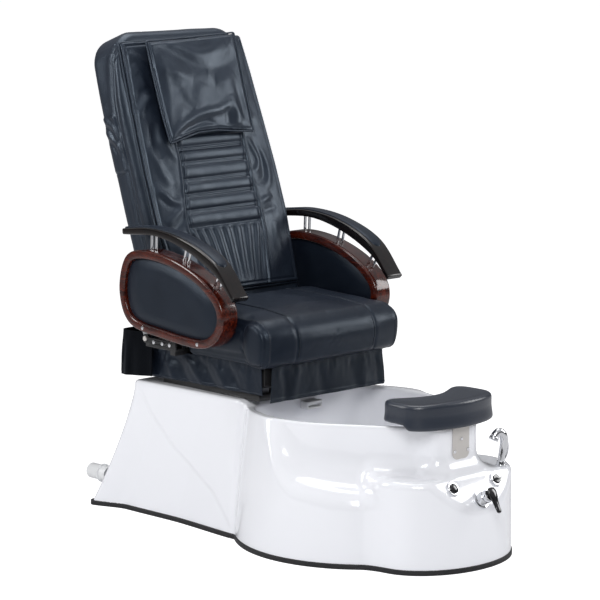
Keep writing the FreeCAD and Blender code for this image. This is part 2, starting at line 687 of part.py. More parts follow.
def hinge_cheek(thickness_x, outline_r, bore_r):
    """A plate round the recline axis, reaching down into the seat frame."""
    x0, x1 = thickness_x
    disc = rod(Vec(x0, RECLINE_Y, RECLINE_Z), Vec(x1, RECLINE_Y, RECLINE_Z), outline_r)
    web = box(x0, x1, RECLINE_Y - outline_r, RECLINE_Y + outline_r, SEAT_FRAME_Z, RECLINE_Z)
    bore = rod(Vec(x0 - 1, RECLINE_Y, RECLINE_Z), Vec(x1 + 1, RECLINE_Y, RECLINE_Z), bore_r)
    return disc.fuse(web).cut(bore)


def seat_frame():
    """Steel seat frame with the recline hinge cheeks and the stops for the cushion."""
    sides = both_sides(box(180, 240, -30, 345, SEAT_FRAME_Z, SEAT_FRAME_TOP_Z))
    bars = [box(-180, 180, y, y + 40, SEAT_FRAME_Z, SEAT_FRAME_Z + 10) for y in (-30, 50, 240)]
    cheek = hinge_cheek((220, 232), 20, RECLINE_PIN_R + RUNNING)
    cut_for_plate = box(232, 250, RECLINE_Y - 40, RECLINE_Y + 40, SEAT_FRAME_Z - 1, 520)
    frame = fuse(sides + bars)
    for notch in both_sides(cut_for_plate):
        frame = frame.cut(notch)
    return fuse([frame] + both_sides(cheek))


def seat_cushion():
    """Seat cushion: bowed front, crowned top and a rear that follows the back."""
    profile = [(-95, CUSHION_BOTTOM_Z), (-95, 640), (-60, 655), (60, 668), (316, 676),
               (280, CUSHION_BOTTOM_Z)]
    side = side_slab(polygon_face(profile), -SEAT_HALF_WIDTH, SEAT_HALF_WIDTH)
    front_left = Vec(-SEAT_HALF_WIDTH, CUSHION_CORNER_Y, 0)
    front_right = Vec(SEAT_HALF_WIDTH, CUSHION_CORNER_Y, 0)
    rear_right = Vec(SEAT_HALF_WIDTH, 320, 0)
    rear_left = Vec(-SEAT_HALF_WIDTH, 320, 0)
    edges = [
        Part.Arc(front_left, Vec(0, CUSHION_FRONT_Y, 0), front_right).toShape(),
        Part.makeLine(front_right, rear_right),
        Part.makeLine(rear_right, rear_left),
        Part.makeLine(rear_left, front_left),
    ]
    plan = prism(Part.Face(Part.Wire(edges)), CUSHION_BOTTOM_Z, 700)
    return side.common(plan)


def front_skirt():
    """Leather skirt that hides the slide from the front."""
    return box(-238, 228, -52, -52 + SKIRT_THICK, 408, 514)


def side_skirts():
    """Leather skirts along both sides of the seat frame."""
    outline = [(-44, 425), (455, 425), (455, 462), (398, 514), (-44, 514)]
    panel = side_slab(polygon_face(outline), 246, 246 + SKIRT_THICK)
    return Part.makeCompound(both_sides(panel))


def rear_skirt():
    """Leather skirt that hangs behind the seat frame."""
    return box(-248, 248, 490, 490 + SKIRT_THICK, 413, 500)


# ---- recline drive ---------------------------------------------------------------------------
def recline_actuator_tube():
    """Motor and outer tube of the recline drive, under the cushion."""
    z = RECLINE_Z - CRANK_DROP
    motor = box(-22, 22, -25, 55, SEAT_FRAME_Z + 10, z + 20)
    tube = rod(Vec(0, 50, z), Vec(0, 260, z), RECLINE_TUBE_R)
    bore = rod(Vec(0, 70, z), Vec(0, 261, z), RECLINE_ROD_R + RUNNING)
    return fuse([motor, tube]).cut(bore)


def recline_actuator_rod():
    """Rod of the recline drive, with the eye that pulls the crank."""
    z = RECLINE_Z - CRANK_DROP
    bar = rod(Vec(0, 130, z), Vec(0, RECLINE_Y - 8, z), RECLINE_ROD_R)
    eye = rod(Vec(-5, RECLINE_Y, z), Vec(5, RECLINE_Y, z), 12)
    hole = rod(Vec(-9, RECLINE_Y, z), Vec(9, RECLINE_Y, z), CRANK_PIN_R)
    for x0, x1 in ((-20, -5), (5, 20)):
        bar = bar.cut(box(x0, x1, RECLINE_Y - 24, RECLINE_Y, z - 20, z + 20))
    return fuse([bar, eye]).cut(hole)


def pivot_pins():
    """Recline hinge pins and arm hinge pins, all fixed in the seat."""
    recline = rod(Vec(218, RECLINE_Y, RECLINE_Z), Vec(250, RECLINE_Y, RECLINE_Z), RECLINE_PIN_R)
    recline = recline.fuse(rod(Vec(248, RECLINE_Y, RECLINE_Z), Vec(252, RECLINE_Y, RECLINE_Z), 12))
    arm = rod(Vec(287, ARM_PIVOT_Y, ARM_PIVOT_Z), Vec(330, ARM_PIVOT_Y, ARM_PIVOT_Z), ARM_PIN_R)
    arm = arm.fuse(rod(Vec(327, ARM_PIVOT_Y, ARM_PIVOT_Z), Vec(331, ARM_PIVOT_Y, ARM_PIVOT_Z), 7.5))
    return Part.makeCompound(both_sides(recline) + both_sides(arm))


# ---- arms ------------------------------------------------------------------------------------
def arm_bracket():
    """Black channel under the arm, on a cross bar from the seat frame."""
    plates = []
    for x0, x1 in BRACKET_PLATES_X:
        plates.append(box(x0, x1, 265, ARM_PIVOT_Y, 535, 562))
        plates.append(rod(Vec(x0, ARM_PIVOT_Y, ARM_PIVOT_Z), Vec(x1, ARM_PIVOT_Y, ARM_PIVOT_Z), 14))
    floor = box(290, 326, 265, 376, 535, 541)
    bar = box(232, 300, 296, 318, 515, 535.5)
    leg = box(232, 240, 296, 318, 500, 535)
    shape = fuse(plates + [floor, bar, leg])
    shape = shape.cut(box(200, 240.01, 280, 320, 495, SEAT_FRAME_TOP_Z))
    bore = rod(Vec(280, ARM_PIVOT_Y, ARM_PIVOT_Z), Vec(340, ARM_PIVOT_Y, ARM_PIVOT_Z),
               ARM_PIN_R + RUNNING)
    shape = shape.cut(bore)
    for y in BRACKET_BOLTS_Y:
        shape = shape.cut(rod(Vec(317, y, BRACKET_BOLT_Z), Vec(340, y, BRACKET_BOLT_Z), 3.3))
    return shape


def bracket_bolts():
    """Chrome bolts in the outer plate of each arm bracket."""
    bolts = []
    for y in BRACKET_BOLTS_Y:
        head = rod(Vec(326, y, BRACKET_BOLT_Z), Vec(330, y, BRACKET_BOLT_Z), 6.0)
        shank = rod(Vec(318, y, BRACKET_BOLT_Z), Vec(326, y, BRACKET_BOLT_Z), 3.0)
        bolts += both_sides(head.fuse(shank))
    return Part.makeCompound(bolts)


def arm_ring_solid():
    """The oval ring with its web, for the +X arm."""
    ring = side_slab(closed_spline_face(ARM_OVAL), ARM_INNER_X, ARM_OUTER_X)
    opening = closed_spline_face(inset_points(ARM_OVAL, ARM_BAND))
    inner_recess = side_slab(opening, ARM_INNER_X - 1, ARM_WEB[0])
    outer_recess = side_slab(opening, ARM_WEB[1], ARM_OUTER_X + 1)
    return ring.cut(inner_recess).cut(outer_recess)


def arm_pads():
    """Leather pads on both faces of the web, inside the ring."""
    face = closed_spline_face(inset_points(ARM_OVAL, ARM_BAND + 2.0))
    inner = side_slab(face, ARM_INNER_X + 4, ARM_WEB[0])
    outer = side_slab(face, ARM_WEB[1], ARM_OUTER_X - 4)
    return Part.makeCompound([inner, outer])


def arm_rail_face():
    """Outline of the upper rail, which curves down to the front."""
    top = spline_edge(ARM_RAIL_TOP)
    bottom = spline_edge(ARM_RAIL_BOTTOM)
    corners = [Vec(*ARM_RAIL_TOP[-1], 0), Vec(*ARM_RAIL_BOTTOM[0], 0)]
    rear = [Vec(*ARM_RAIL_BOTTOM[-1], 0), Vec(*ARM_RAIL_TOP[0], 0)]
    return Part.Face(Part.Wire([top, Part.makeLine(*corners), bottom, Part.makeLine(*rear)]))


def arm_rail():
    return side_slab(arm_rail_face(), ARM_RAIL_INNER_X, ARM_OUTER_X)


def arm_rail_pad():
    """Leather inlay on top of the rail."""
    raised = side_slab(arm_rail_face(), 295, 337)
    raised.translate(Vec(0, -1.5, 4))
    strip = raised.common(box(290, 340, 39, 470, 780, 950))
    return strip.cut(arm_rail())


def arm_posts():
    """Chrome posts between the ring and the rail, in pairs."""
    posts = []
    x = (ARM_INNER_X + ARM_OUTER_X) / 2
    ring = arm_ring_solid()
    rail = arm_rail()
    for y, z, lean in ARM_POST_PAIRS:
        angle = math.radians(lean)
        normal = Vec(0, -math.sin(angle), math.cos(angle))
        tangent = Vec(0, math.cos(angle), math.sin(angle))
        for side in (-0.5, 0.5):
            foot = Vec(x, y, z) + tangent * (side * ARM_POST_SPACING)
            post = rod(foot - normal * 9, foot + normal * (RAIL_GAP + 9), ARM_POST_R)
            posts.append(post.cut(ring).cut(rail).Solids[0])
    return Part.makeCompound(posts)


def arm_hinge():
    """Hinge lug under the ring, and the two screws in the ring's outer face."""
    x0, x1 = ARM_LUG_X
    disc = rod(Vec(x0, ARM_PIVOT_Y, ARM_PIVOT_Z), Vec(x1, ARM_PIVOT_Y, ARM_PIVOT_Z), 14)
    web = side_slab(polygon_face([(388, 550), (413, 552), (445, 602), (384, 602)]), x0, x1)
    bore = rod(Vec(x0 - 1, ARM_PIVOT_Y, ARM_PIVOT_Z), Vec(x1 + 1, ARM_PIVOT_Y, ARM_PIVOT_Z),
               ARM_PIN_R + RUNNING)
    lug = max(disc.fuse(web).cut(arm_ring_solid()).cut(bore).Solids, key=lambda s: s.Volume)
    screws = []
    for y, z in ((391, 593), (144, 575)):
        screws.append(rod(Vec(ARM_OUTER_X, y, z), Vec(ARM_OUTER_X + 1.5, y, z), 5.5))
    return Part.makeCompound([lug] + screws)


# ---- back ------------------------------------------------------------------------------------
def back_slab(face, v0, v1):
    """An (x, u) outline extruded through the back's thickness, from v0 to v1."""
    return moved(prism(face, -v1, -v0), BACK_FRAME)


def back_box(x0, x1, u0, u1, v0, v1):
    return moved(box(x0, x1, u0, u1, -v1, -v0), BACK_FRAME)


def back_point(x, u, v):
    return BACK_FRAME.multVec(Vec(x, u, -v))


def to_back(point):
    """(u, v) of a point given in the chair's frame."""
    local = BACK_FRAME.inverse().multVec(point)
    return local.y, -local.z


def back_outline(inset, bottom):
    """Outline of the back, rounded at its top corners."""
    half = BACK_HALF_WIDTH - inset
    top = BACK_TOP - inset
    radius = BACK_CORNER_R - inset
    mid = radius * (1 - math.sqrt(0.5))
    edges = [
        Part.makeLine(Vec(-half, bottom, 0), Vec(half, bottom, 0)),
        Part.makeLine(Vec(half, bottom, 0), Vec(half, top - radius, 0)),
        Part.Arc(Vec(half, top - radius, 0), Vec(half - mid, top - mid, 0),
                 Vec(half - radius, top, 0)).toShape(),
        Part.makeLine(Vec(half - radius, top, 0), Vec(-half + radius, top, 0)),
        Part.Arc(Vec(-half + radius, top, 0), Vec(-half + mid, top - mid, 0),
                 Vec(-half, top - radius, 0)).toShape(),
        Part.makeLine(Vec(-half, top - radius, 0), Vec(-half, bottom, 0)),
    ]
    return Part.Face(Part.Wire(edges))


def back_cushion():
    """Foam bolster of the back, with the channel for the massage rollers."""
    foam = fuse([
        back_slab(back_outline(BOLSTER_STEP, BOLSTER_BOTTOM), BOLSTER_FRONT, BOLSTER_MIDDLE),
        back_slab(back_outline(0.0, BOLSTER_BOTTOM), BOLSTER_MIDDLE, SHELL_FRONT - 1),
    ])
    channel = back_box(-CHANNEL_HALF_WIDTH, CHANNEL_HALF_WIDTH, CHANNEL_BOTTOM, CHANNEL_TOP,
                       BOLSTER_FRONT - 1, SHELL_FRONT + 1)
    return foam.cut(channel)


def back_shell():
    """Rear cover of the back."""
    outer = back_slab(back_outline(0.0, BACK_BOTTOM), SHELL_FRONT, BACK_REAR)
    inner = back_slab(back_outline(SHELL_WALL, BACK_BOTTOM - 1), SHELL_FRONT - 1,
                      BACK_REAR - SHELL_WALL)
    return outer.cut(inner)


def back_flap():
    """Quilted leather pad that hangs over the front of the back."""
    half = [(246, 4), (254, 234), (237, 387), (215, 583), (188, 796)]
    return back_slab(symmetric_face(half), 0, FLAP_THICK)


def head_pillow():
    """Head pillow that hangs in front of the flap."""
    half = [(168, 466), (182, 600), (178, 790)]
    return back_slab(symmetric_face(half), -40, -2)


def back_frame():
    """Steel frame of the back: hinge plates, cross tubes, torque tube, crank and rails."""
    pivot_u, pivot_v = to_back(Vec(0, RECLINE_Y, RECLINE_Z))
    outline = [(640, 117), (640, 141), (-92, 141), (pivot_u - 4, pivot_v + 22),
               (pivot_u - 4, pivot_v - 16), (pivot_u + 12, pivot_v - 16), (-74, 117)]
    face = polygon_face([(v, u) for u, v in outline])
    plate = prism(face, *HINGE_PLATE_X)
    plate = moved(moved(plate, UPRIGHT_SIDE), BACK_FRAME)
    x0, x1 = HINGE_PLATE_X
    bore = rod(Vec(x0 - 6, RECLINE_Y, RECLINE_Z), Vec(x1 + 4, RECLINE_Y, RECLINE_Z),
               RECLINE_PIN_R + RUNNING)
    hinge_disc = rod(Vec(x0, RECLINE_Y, RECLINE_Z), Vec(x1, RECLINE_Y, RECLINE_Z), 18)
    plate = plate.fuse(hinge_disc).cut(bore)
    bars = [back_box(-237, 237, u, u + 14, 117, 139) for u in (18, 628)]
    torque_tube = rod(Vec(-215, RECLINE_Y, RECLINE_Z), Vec(215, RECLINE_Y, RECLINE_Z), 10)
    sides = (-TORQUE_ARM_X, TORQUE_ARM_X)
    arms = [back_box(x - 6, x + 6, pivot_u + 2, 26, 120, 132) for x in sides]
    links = [back_box(x - 6, x + 6, pivot_u - 6, pivot_u + 7, pivot_v, 131) for x in sides]
    rails = [rod(back_point(x, 24, MASSAGE_RAIL_V), back_point(x, 636, MASSAGE_RAIL_V),
                 MASSAGE_RAIL_R) for x in (-MASSAGE_RAIL_X, MASSAGE_RAIL_X)]
    crank_z = RECLINE_Z - CRANK_DROP
    cranks = []
    for x0, x1 in CRANK_X:
        crank = box(x0, x1, RECLINE_Y - 9, RECLINE_Y + 9, crank_z - 8, RECLINE_Z)
        hole = rod(Vec(x0 - 1, RECLINE_Y, crank_z), Vec(x1 + 1, RECLINE_Y, crank_z), CRANK_PIN_R)
        cranks.append(crank.cut(hole))
    return fuse(both_sides(plate) + bars + [torque_tube] + arms + links + rails + cranks)


def massage_carriage():
    """Carriage with its motor, on the two rails of the back frame."""
    plate = back_box(-128, 128, MASSAGE_U - 40, MASSAGE_U + 40, 118, 138)
    motor = back_box(-45, 45, MASSAGE_U - 30, MASSAGE_U + 30, 138, 164)
    cheeks = [back_box(x - 4, x + 4, MASSAGE_U - 14, MASSAGE_U + 14, ROLLER_V - 14, 119)
              for x in (-72, 72)]
    shape = fuse([plate, motor] + cheeks)
    for x in (-MASSAGE_RAIL_X, MASSAGE_RAIL_X):
        shape = shape.cut(rod(back_point(x, MASSAGE_U - 60, MASSAGE_RAIL_V),
                              back_point(x, MASSAGE_U + 60, MASSAGE_RAIL_V),
                              MASSAGE_RAIL_R + RUNNING))
    bore = rod(back_point(-90, MASSAGE_U, ROLLER_V), back_point(90, MASSAGE_U, ROLLER_V),
               ROLLER_AXLE_R + RUNNING)
    return shape.cut(bore)


def massage_rollers():
    """Pair of kneading rollers on their axle."""
    axle = rod(back_point(-80, MASSAGE_U, ROLLER_V), back_point(80, MASSAGE_U, ROLLER_V),
               ROLLER_AXLE_R)
    wheels = []
    for x in (-45, 45):
        wheel = rod(back_point(x - 14, MASSAGE_U, ROLLER_V), back_point(x + 14, MASSAGE_U, ROLLER_V),
                    ROLLER_R)
        wheels.append(wheel)
    return fuse([axle] + wheels)


# ---- the whole chair -------------------------------------------------------------------------
def arm_nodes():
    """Every node of the two arms, the left one at +X."""
    makers = {
        "arm_frame": arm_ring_solid,
        "arm_pads": arm_pads,
        "arm_rail": arm_rail,
        "arm_rail_pad": arm_rail_pad,
        "arm_posts": arm_posts,
        "arm_hinge": arm_hinge,
    }
    nodes = {}
    for name, make in makers.items():
        shape = make()
        nodes[name + "_left"] = shape
        nodes[name + "_right"] = mirrored(shape)
    return nodes


def arm_brackets():
    return Part.makeCompound(both_sides(arm_bracket()))


MAKERS = [
    base_shell, basin, rubber_trim, base_frame, drain_pipe, drain_body, drain_plug, jet_nozzles,
    waterfall_spout, footrest_bracket, bracket_screws, footrest_guide, footrest_post, footrest_pad,
    knob_bezels, air_button, drain_knob, mixer_base, mixer_cap, mixer_lever, shower_holder,
    handshower, shower_hose, pump_housing, pump_impeller, control_box, seat_mount_frame,
    slide_rails, slide_carriages, slide_actuator_tube, slide_actuator_rod, seat_frame,
    seat_cushion, front_skirt, side_skirts, rear_skirt, recline_actuator_tube,
    recline_actuator_rod, pivot_pins, arm_brackets, bracket_bolts, back_cushion, back_shell,
    back_flap, head_pillow, back_frame, massage_carriage, massage_rollers,
]


def main():
    os.makedirs("parts", exist_ok=True)
    nodes = {make.__name__: make() for make in MAKERS}
    nodes.update(arm_nodes())
    for name, shape in nodes.items():
        if not shape.isValid() or not shape.Solids:
            raise ValueError(name + " is not a valid solid")
        shape.exportStep(os.path.join("parts", name + ".step"))
    print(len(nodes), "nodes")


main()
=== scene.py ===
import math

import bmesh
import bpy
import numpy as np
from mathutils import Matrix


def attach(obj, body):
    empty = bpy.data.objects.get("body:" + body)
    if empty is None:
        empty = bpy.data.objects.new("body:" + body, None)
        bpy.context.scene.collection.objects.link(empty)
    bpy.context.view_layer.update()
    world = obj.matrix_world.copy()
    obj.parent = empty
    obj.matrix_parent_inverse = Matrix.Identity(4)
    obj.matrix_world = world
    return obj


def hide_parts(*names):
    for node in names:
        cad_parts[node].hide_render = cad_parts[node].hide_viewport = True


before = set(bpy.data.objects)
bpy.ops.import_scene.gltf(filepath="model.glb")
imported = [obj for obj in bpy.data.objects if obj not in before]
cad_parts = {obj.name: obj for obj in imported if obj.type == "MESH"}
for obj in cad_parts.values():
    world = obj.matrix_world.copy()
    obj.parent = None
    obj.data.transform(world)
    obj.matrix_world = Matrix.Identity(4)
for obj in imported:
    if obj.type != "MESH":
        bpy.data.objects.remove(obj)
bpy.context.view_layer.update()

import openvdb
from mathutils import Vector
from mathutils.bvhtree import BVHTree

MM = 0.001

# ---- the chair's own frame: the back leans, the console slopes ---------------------------------
BACK_TILT = math.radians(19.5)
BACK_ORIGIN = np.array([0.0, 330.0, 680.0])
BACK_U = np.array([0.0, math.sin(BACK_TILT), math.cos(BACK_TILT)])
BACK_V = np.array([0.0, math.cos(BACK_TILT), -math.sin(BACK_TILT)])
CONSOLE_TILT = math.radians(31.0)
CONSOLE_TOP = np.array([0.0, -600.0, 300.0])


def in_back(points):
    """(x, u, v) on the back, in millimetres, to the chair's frame."""
    p = np.asarray(points, float)
    return (np.array([1.0, 0.0, 0.0]) * p[..., 0:1] + BACK_U * p[..., 1:2] + BACK_V * p[..., 2:3]
            + BACK_ORIGIN)


def on_console(x, z, height=0.0, down=0.0):
    """A point above the console face at side position x and level z."""
    sine, cosine = math.sin(CONSOLE_TILT), math.cos(CONSOLE_TILT)
    y = CONSOLE_TOP[1] - (CONSOLE_TOP[2] - z) * math.tan(CONSOLE_TILT)
    point = np.array([x, y, z]) + np.array([0.0, -sine, -cosine]) * down
    return point + np.array([0.0, -cosine, sine]) * height


# ---- distance fields ---------------------------------------------------------------------------
def rmax(a, b, r):
    """Intersection with its edge rounded to radius r."""
    return np.minimum(np.maximum(a, b), -r) + np.hypot(np.maximum(a + r, 0), np.maximum(b + r, 0))


def rmin(a, b, r):
    """Union with a fillet of radius r."""
    return np.maximum(np.minimum(a, b), r) - np.hypot(np.maximum(r - a, 0), np.maximum(r - b, 0))


def smooth(a, b, t):
    """An even ramp from 0 where t is a to 1 where t is b."""
    t = np.clip((t - a) / (b - a), 0, 1)
    return t * t * (3 - 2 * t)


def ridge(distance, width):
    """A bell curve: 1 on the line and almost 0 at twice the width."""
    return np.exp(-(distance / width) ** 2)


def table_at(table, at):
    """The second value of a table of pairs, read off at places on its first value."""
    keys, values = zip(*sorted(table))
    return np.interp(at, keys, values)


def corner_arc(first, second, radius, start, count):
    """Points of a quarter circle about a centre, from a start angle in degrees."""
    return [(first + radius * math.cos(a), second + radius * math.sin(a))
            for a in np.radians(np.linspace(start, start + 90, count))]


def polygon_distance(px, py, corners):
    """Signed distance to a closed polygon, negative inside."""
    best = np.full(px.shape, 1e12)
    inside = np.ones(px.shape)
    count = len(corners)
    for i in range(count):
        x0, y0 = corners[i]
        x1, y1 = corners[i - 1]
        ex, ey = x1 - x0, y1 - y0
        wx, wy = px - x0, py - y0
        t = np.clip((wx * ex + wy * ey) / (ex * ex + ey * ey), 0, 1)
        best = np.minimum(best, (wx - ex * t) ** 2 + (wy - ey * t) ** 2)
        above = py >= y0
        below = py < y1
        left = ex * wy > ey * wx
        flip = (above & below & left) | (~above & ~below & ~left)
        inside = np.where(flip, -inside, inside)
    return inside * np.sqrt(best)


def spline(points, count, closed=False):
    """Points on a Catmull-Rom curve through the given ones."""
    pts = [np.asarray(p, float) for p in points]
    n = len(pts)
    spans = n if closed else n - 1
    out = []
    for k in range(count):
        s = k * spans / (count if closed else count - 1)
        i = min(int(s), spans - 1)
        t = s - i
        if closed:
            p0, p1, p2, p3 = (pts[(i + j) % n] for j in (-1, 0, 1, 2))
        else:
            p1, p2 = pts[i], pts[i + 1]
            p0 = pts[i - 1] if i > 0 else 2 * p1 - p2
            p3 = pts[i + 2] if i + 2 < n else 2 * p2 - p1
        out.append(0.5 * (2 * p1 + (p2 - p0) * t + (2 * p0 - 5 * p1 + 4 * p2 - p3) * t * t
                          + (3 * p1 - p0 - 3 * p2 + p3) * t ** 3))
    return np.array(out)


def field_mesh(name, field, low, high, steps):
    """The zero surface of a field in a box, with its points drawn on to it.

    steps holds the grid's step for quick views and the one for full views; only the second is used."""
    step = steps[1]
    axes = [np.arange(a, b + step, step) for a, b in zip(low, high)]
    grid_points = np.meshgrid(*axes, indexing="ij")
    values = field(*grid_points).astype(np.float32)
    grid = openvdb.FloatGrid(3.0 * step)
    grid.copyFromArray(np.clip(values, -3.0 * step, 3.0 * step))
    points, quads = grid.convertToQuads()
    points = points.astype(float) * step + np.array([a[0] for a in axes])
    for _ in range(3):
        points = points - newton_step(field, points, step)
    return make_mesh(name, points, quads[:, ::-1])


def newton_step(field, points, step):
    """The move that takes points on to a field's zero surface, at most part of a grid step."""
    h = 0.4     # half the distance over which the slope is measured
    here = field(*points.T)
    slope = np.stack([(field(*(points + d).T) - field(*(points - d).T)) / (2 * h)
                      for d in np.eye(3) * h], axis=1)
    size = np.maximum((slope ** 2).sum(axis=1), 0.25)
    move = slope * (here / size)[:, None]
    length = np.linalg.norm(move, axis=1)
    return move * np.minimum(1.0, 0.6 * step / np.maximum(length, 1e-9))[:, None]


# ---- meshes ------------------------------------------------------------------------------------
def make_mesh(name, points, faces):
    """A smooth-shaded object from points in millimetres."""
    mesh = bpy.data.meshes.new(name)
    mesh.from_pydata((np.asarray(points) * MM).tolist(), [],
                     [tuple(int(i) for i in face) for face in faces])
    mesh.validate()
    obj = bpy.data.objects.new(name, mesh)
    bpy.context.scene.collection.objects.link(obj)
    bm = bmesh.new()
    bm.from_mesh(mesh)
    bmesh.ops.recalc_face_normals(bm, faces=bm.faces)
    bm.to_mesh(mesh)
    bm.free()
    mesh.shade_smooth()
    return obj


def finish_piece(obj, material, body, nodes=()):
    """Gives a piece its material and its body, and hides the CAD nodes that it stands for."""
    obj.data.materials.clear()
    obj.data.materials.append(material)
    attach(obj, body)
    if nodes:
        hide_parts(*nodes)
    return obj


def read_vectors(obj, kind):
    flat = np.empty(len(obj.data.vertices) * 3)
    obj.data.vertices.foreach_get(kind, flat)
    return flat.reshape(-1, 3)


def read_points(obj):
    return read_vectors(obj, "co") / MM


def read_normals(obj):
    return read_vectors(obj, "normal")


def write_points(obj, points):
    obj.data.vertices.foreach_set("co", (points * MM).ravel())
    obj.data.update()


def emboss(obj, points, normals, height):
    """Moves every point along its normal by its own height."""
    write_points(obj, points + normals * height[:, None])


def into_back_place(obj):
    """Takes a piece drawn in (x, u, v) on the back to its place in the chair."""
    write_points(obj, in_back(read_points(obj)))


def bake(obj):
    """Applies the modifiers of an object to its mesh."""
    graph = bpy.context.evaluated_depsgraph_get()
    mesh = bpy.data.meshes.new_from_object(obj.evaluated_get(graph))
    obj.modifiers.clear()
    obj.data = mesh
    mesh.shade_smooth()


def add_modifier(obj, kind, **settings):
    modifier = obj.modifiers.new(kind, kind)
    for key, value in settings.items():
        setattr(modifier, key, value)
    return modifier


CLOTH_FRAMES = 20
CLOTH_SETTINGS = {"use_pressure": True, "quality": 4, "mass": 0.4, "tension_stiffness": 12,
                  "compression_stiffness": 8, "bending_stiffness": 0.6}
PUFF_LIMIT = 3.0     # furthest that the cloth run moves a point


def puff(obj, pressure):
    """Swells a padded piece by a short cloth run, which is then written into its mesh."""
    start = read_points(obj)
    cloth = obj.modifiers.new("Cloth", "CLOTH")
    for key, value in CLOTH_SETTINGS.items():
        setattr(cloth.settings, key, value)
    cloth.settings.uniform_pressure_force = pressure
    cloth.settings.effector_weights.gravity = 0.0
    cloth.collision_settings.use_collision = False
    scene = bpy.context.scene
    cloth.point_cache.frame_start = 1
    cloth.point_cache.frame_end = CLOTH_FRAMES
    for frame_number in range(1, CLOTH_FRAMES + 1):
        scene.frame_set(frame_number)
    bake(obj)
    scene.frame_set(1)
    moved = read_points(obj) - start
    length = np.linalg.norm(moved, axis=1)
    reach = PUFF_LIMIT * np.tanh(length / PUFF_LIMIT)
    moved *= (reach / np.maximum(length, 1e-9))[:, None]
    write_points(obj, start + moved)


def refine(obj):
    """Splits every face in four, on a smooth skin."""
    modifier = add_modifier(obj, "SUBSURF", levels=1, render_levels=1)
    modifier.uv_smooth = "NONE"
    bake(obj)


def puff_and_refine(obj, pressure):
    """Swells a pad and splits its faces; returns its points and normals."""
    puff(obj, pressure)
    refine(obj)
    return read_points(obj), read_normals(obj)


def line_distance(px, py, line):
    """Distance from points to a polyline, and how far along it the nearest place is (0 to 1)."""
    line = np.asarray(line, float)
    lengths = np.hypot(*np.diff(line, axis=0).T)
    total = lengths.sum()
    best = np.full(px.shape, 1e9)
    along = np.zeros(px.shape)
    run = 0.0
    for (x0, y0), (x1, y1), length in zip(line[:-1], line[1:], lengths):
        ex, ey = x1 - x0, y1 - y0
        t = np.clip(((px - x0) * ex + (py - y0) * ey) / (length * length), 0, 1)
        d = np.hypot(px - x0 - ex * t, py - y0 - ey * t)
        nearer = d < best
        best = np.where(nearer, d, best)
        along = np.where(nearer, (run + t * length) / total, along)
        run += length
    return best, along


def fold(px, py, line, height, width):
    """Height of a tapered fold along a line: a ridge if height is positive, else a crease."""
    curve = spline(line, 4 * len(line))
    d, along = line_distance(px, py, curve)
    taper = np.clip(np.sin(math.pi * np.clip(along, 0.0, 1.0)), 0, 1) ** 0.6
    return height * taper * ridge(d, width)


def all_folds(px, py, folds, strength=1.0, spread_out=1.0):
    """Sum of folds, each given as (line, height, width)."""
    total = np.zeros(px.shape)
    for line, height, width in folds:
        total += strength * fold(px, py, line, height, spread_out * width)
    return total


def value_noise(points, scale, seed):
    """Smooth repeatable noise in about -1 to 1 at points given in millimetres."""
    size = 32
    table = np.random.default_rng(seed).random((size, size, size)) * 2 - 1
    q = points / scale
    base = np.floor(q).astype(int)
    f = q - base
    f = f * f * (3 - 2 * f)
    total = 0.0
    for corner in range(8):
        dx, dy, dz = corner & 1, (corner >> 1) & 1, corner >> 2
        weight = ((f[:, 0] if dx else 1 - f[:, 0]) * (f[:, 1] if dy else 1 - f[:, 1])
                  * (f[:, 2] if dz else 1 - f[:, 2]))
        total = total + weight * table[(base[:, 0] + dx) % size, (base[:, 1] + dy) % size,
                                       (base[:, 2] + dz) % size]
    return total


def skin_faces(rows, size, base=0, wrap=True, closed=False, caps=True):
    """Quads over rows of points; wrap joins the ends of a row, closed the last row to the first."""
    faces = []
    for i in range(rows if closed else rows - 1):
        here, there = base + i * size, base + (i + 1) % rows * size
        for k in range(size if wrap else size - 1):
            m = (k + 1) % size
            faces.append((here + k, here + m, there + m, there + k))
    if caps:
        faces.append(tuple(range(base, base + size))[::-1])
        faces.append(tuple(range(base + (rows - 1) * size, base + rows * size)))
    return faces


def tube(name, path, radius, sides=10, closed=False):
    """A round cord along a path in millimetres; radius is one number or one for each point."""
    path = np.asarray(path, float)
    count = len(path)
    radii = np.full(count, radius, float) if np.isscalar(radius) else np.asarray(radius, float)
    if closed:
        tangent = np.roll(path, -1, axis=0) - np.roll(path, 1, axis=0)
    else:
        tangent = np.gradient(path, axis=0)
    tangent /= np.linalg.norm(tangent, axis=1)[:, None]
    side = np.cross(tangent[0], [0.31, 0.52, 0.79])
    points = []
    for i in range(count):
        side = side - tangent[i] * side.dot(tangent[i])
        side /= np.linalg.norm(side)
        other = np.cross(tangent[i], side)
        for k in range(sides):
            a = 2 * math.pi * k / sides
            points.append(path[i] + radii[i] * (side * math.cos(a) + other * math.sin(a)))
    return make_mesh(name, points, skin_faces(count, sides, closed=closed, caps=not closed))


def stacked(name, rings, closed_rings=True, caps=True):
    """A skin through rings of points; every ring has the same count."""
    rings = np.asarray(rings, float)
    faces = skin_faces(*rings.shape[:2], wrap=closed_rings, caps=caps)
    return make_mesh(name, rings.reshape(-1, 3), faces)


def join(name, objects):
    """One object from several meshes."""
    bm = bmesh.new()
    for obj in objects:
        bm.from_mesh(obj.data)
        bpy.data.objects.remove(obj)
    mesh = bpy.data.meshes.new(name)
    bm.to_mesh(mesh)
    bm.free()
    mesh.shade_smooth()
    joined = bpy.data.objects.new(name, mesh)
    bpy.context.scene.collection.objects.link(joined)
    return joined


STITCH_LENGTH = 4.0
STITCH_GAP = 2.6
STITCH_R = 0.55
STITCH_RING = [(1, 0), (0.3, 0.95), (-0.8, 0.6), (-0.8, -0.6), (0.3, -0.95)]
STITCH_SWELL = [(0, 0.3), (0.25, 1.0), (0.75, 1.0), (1, 0.3)]     # (along, part of the radius)


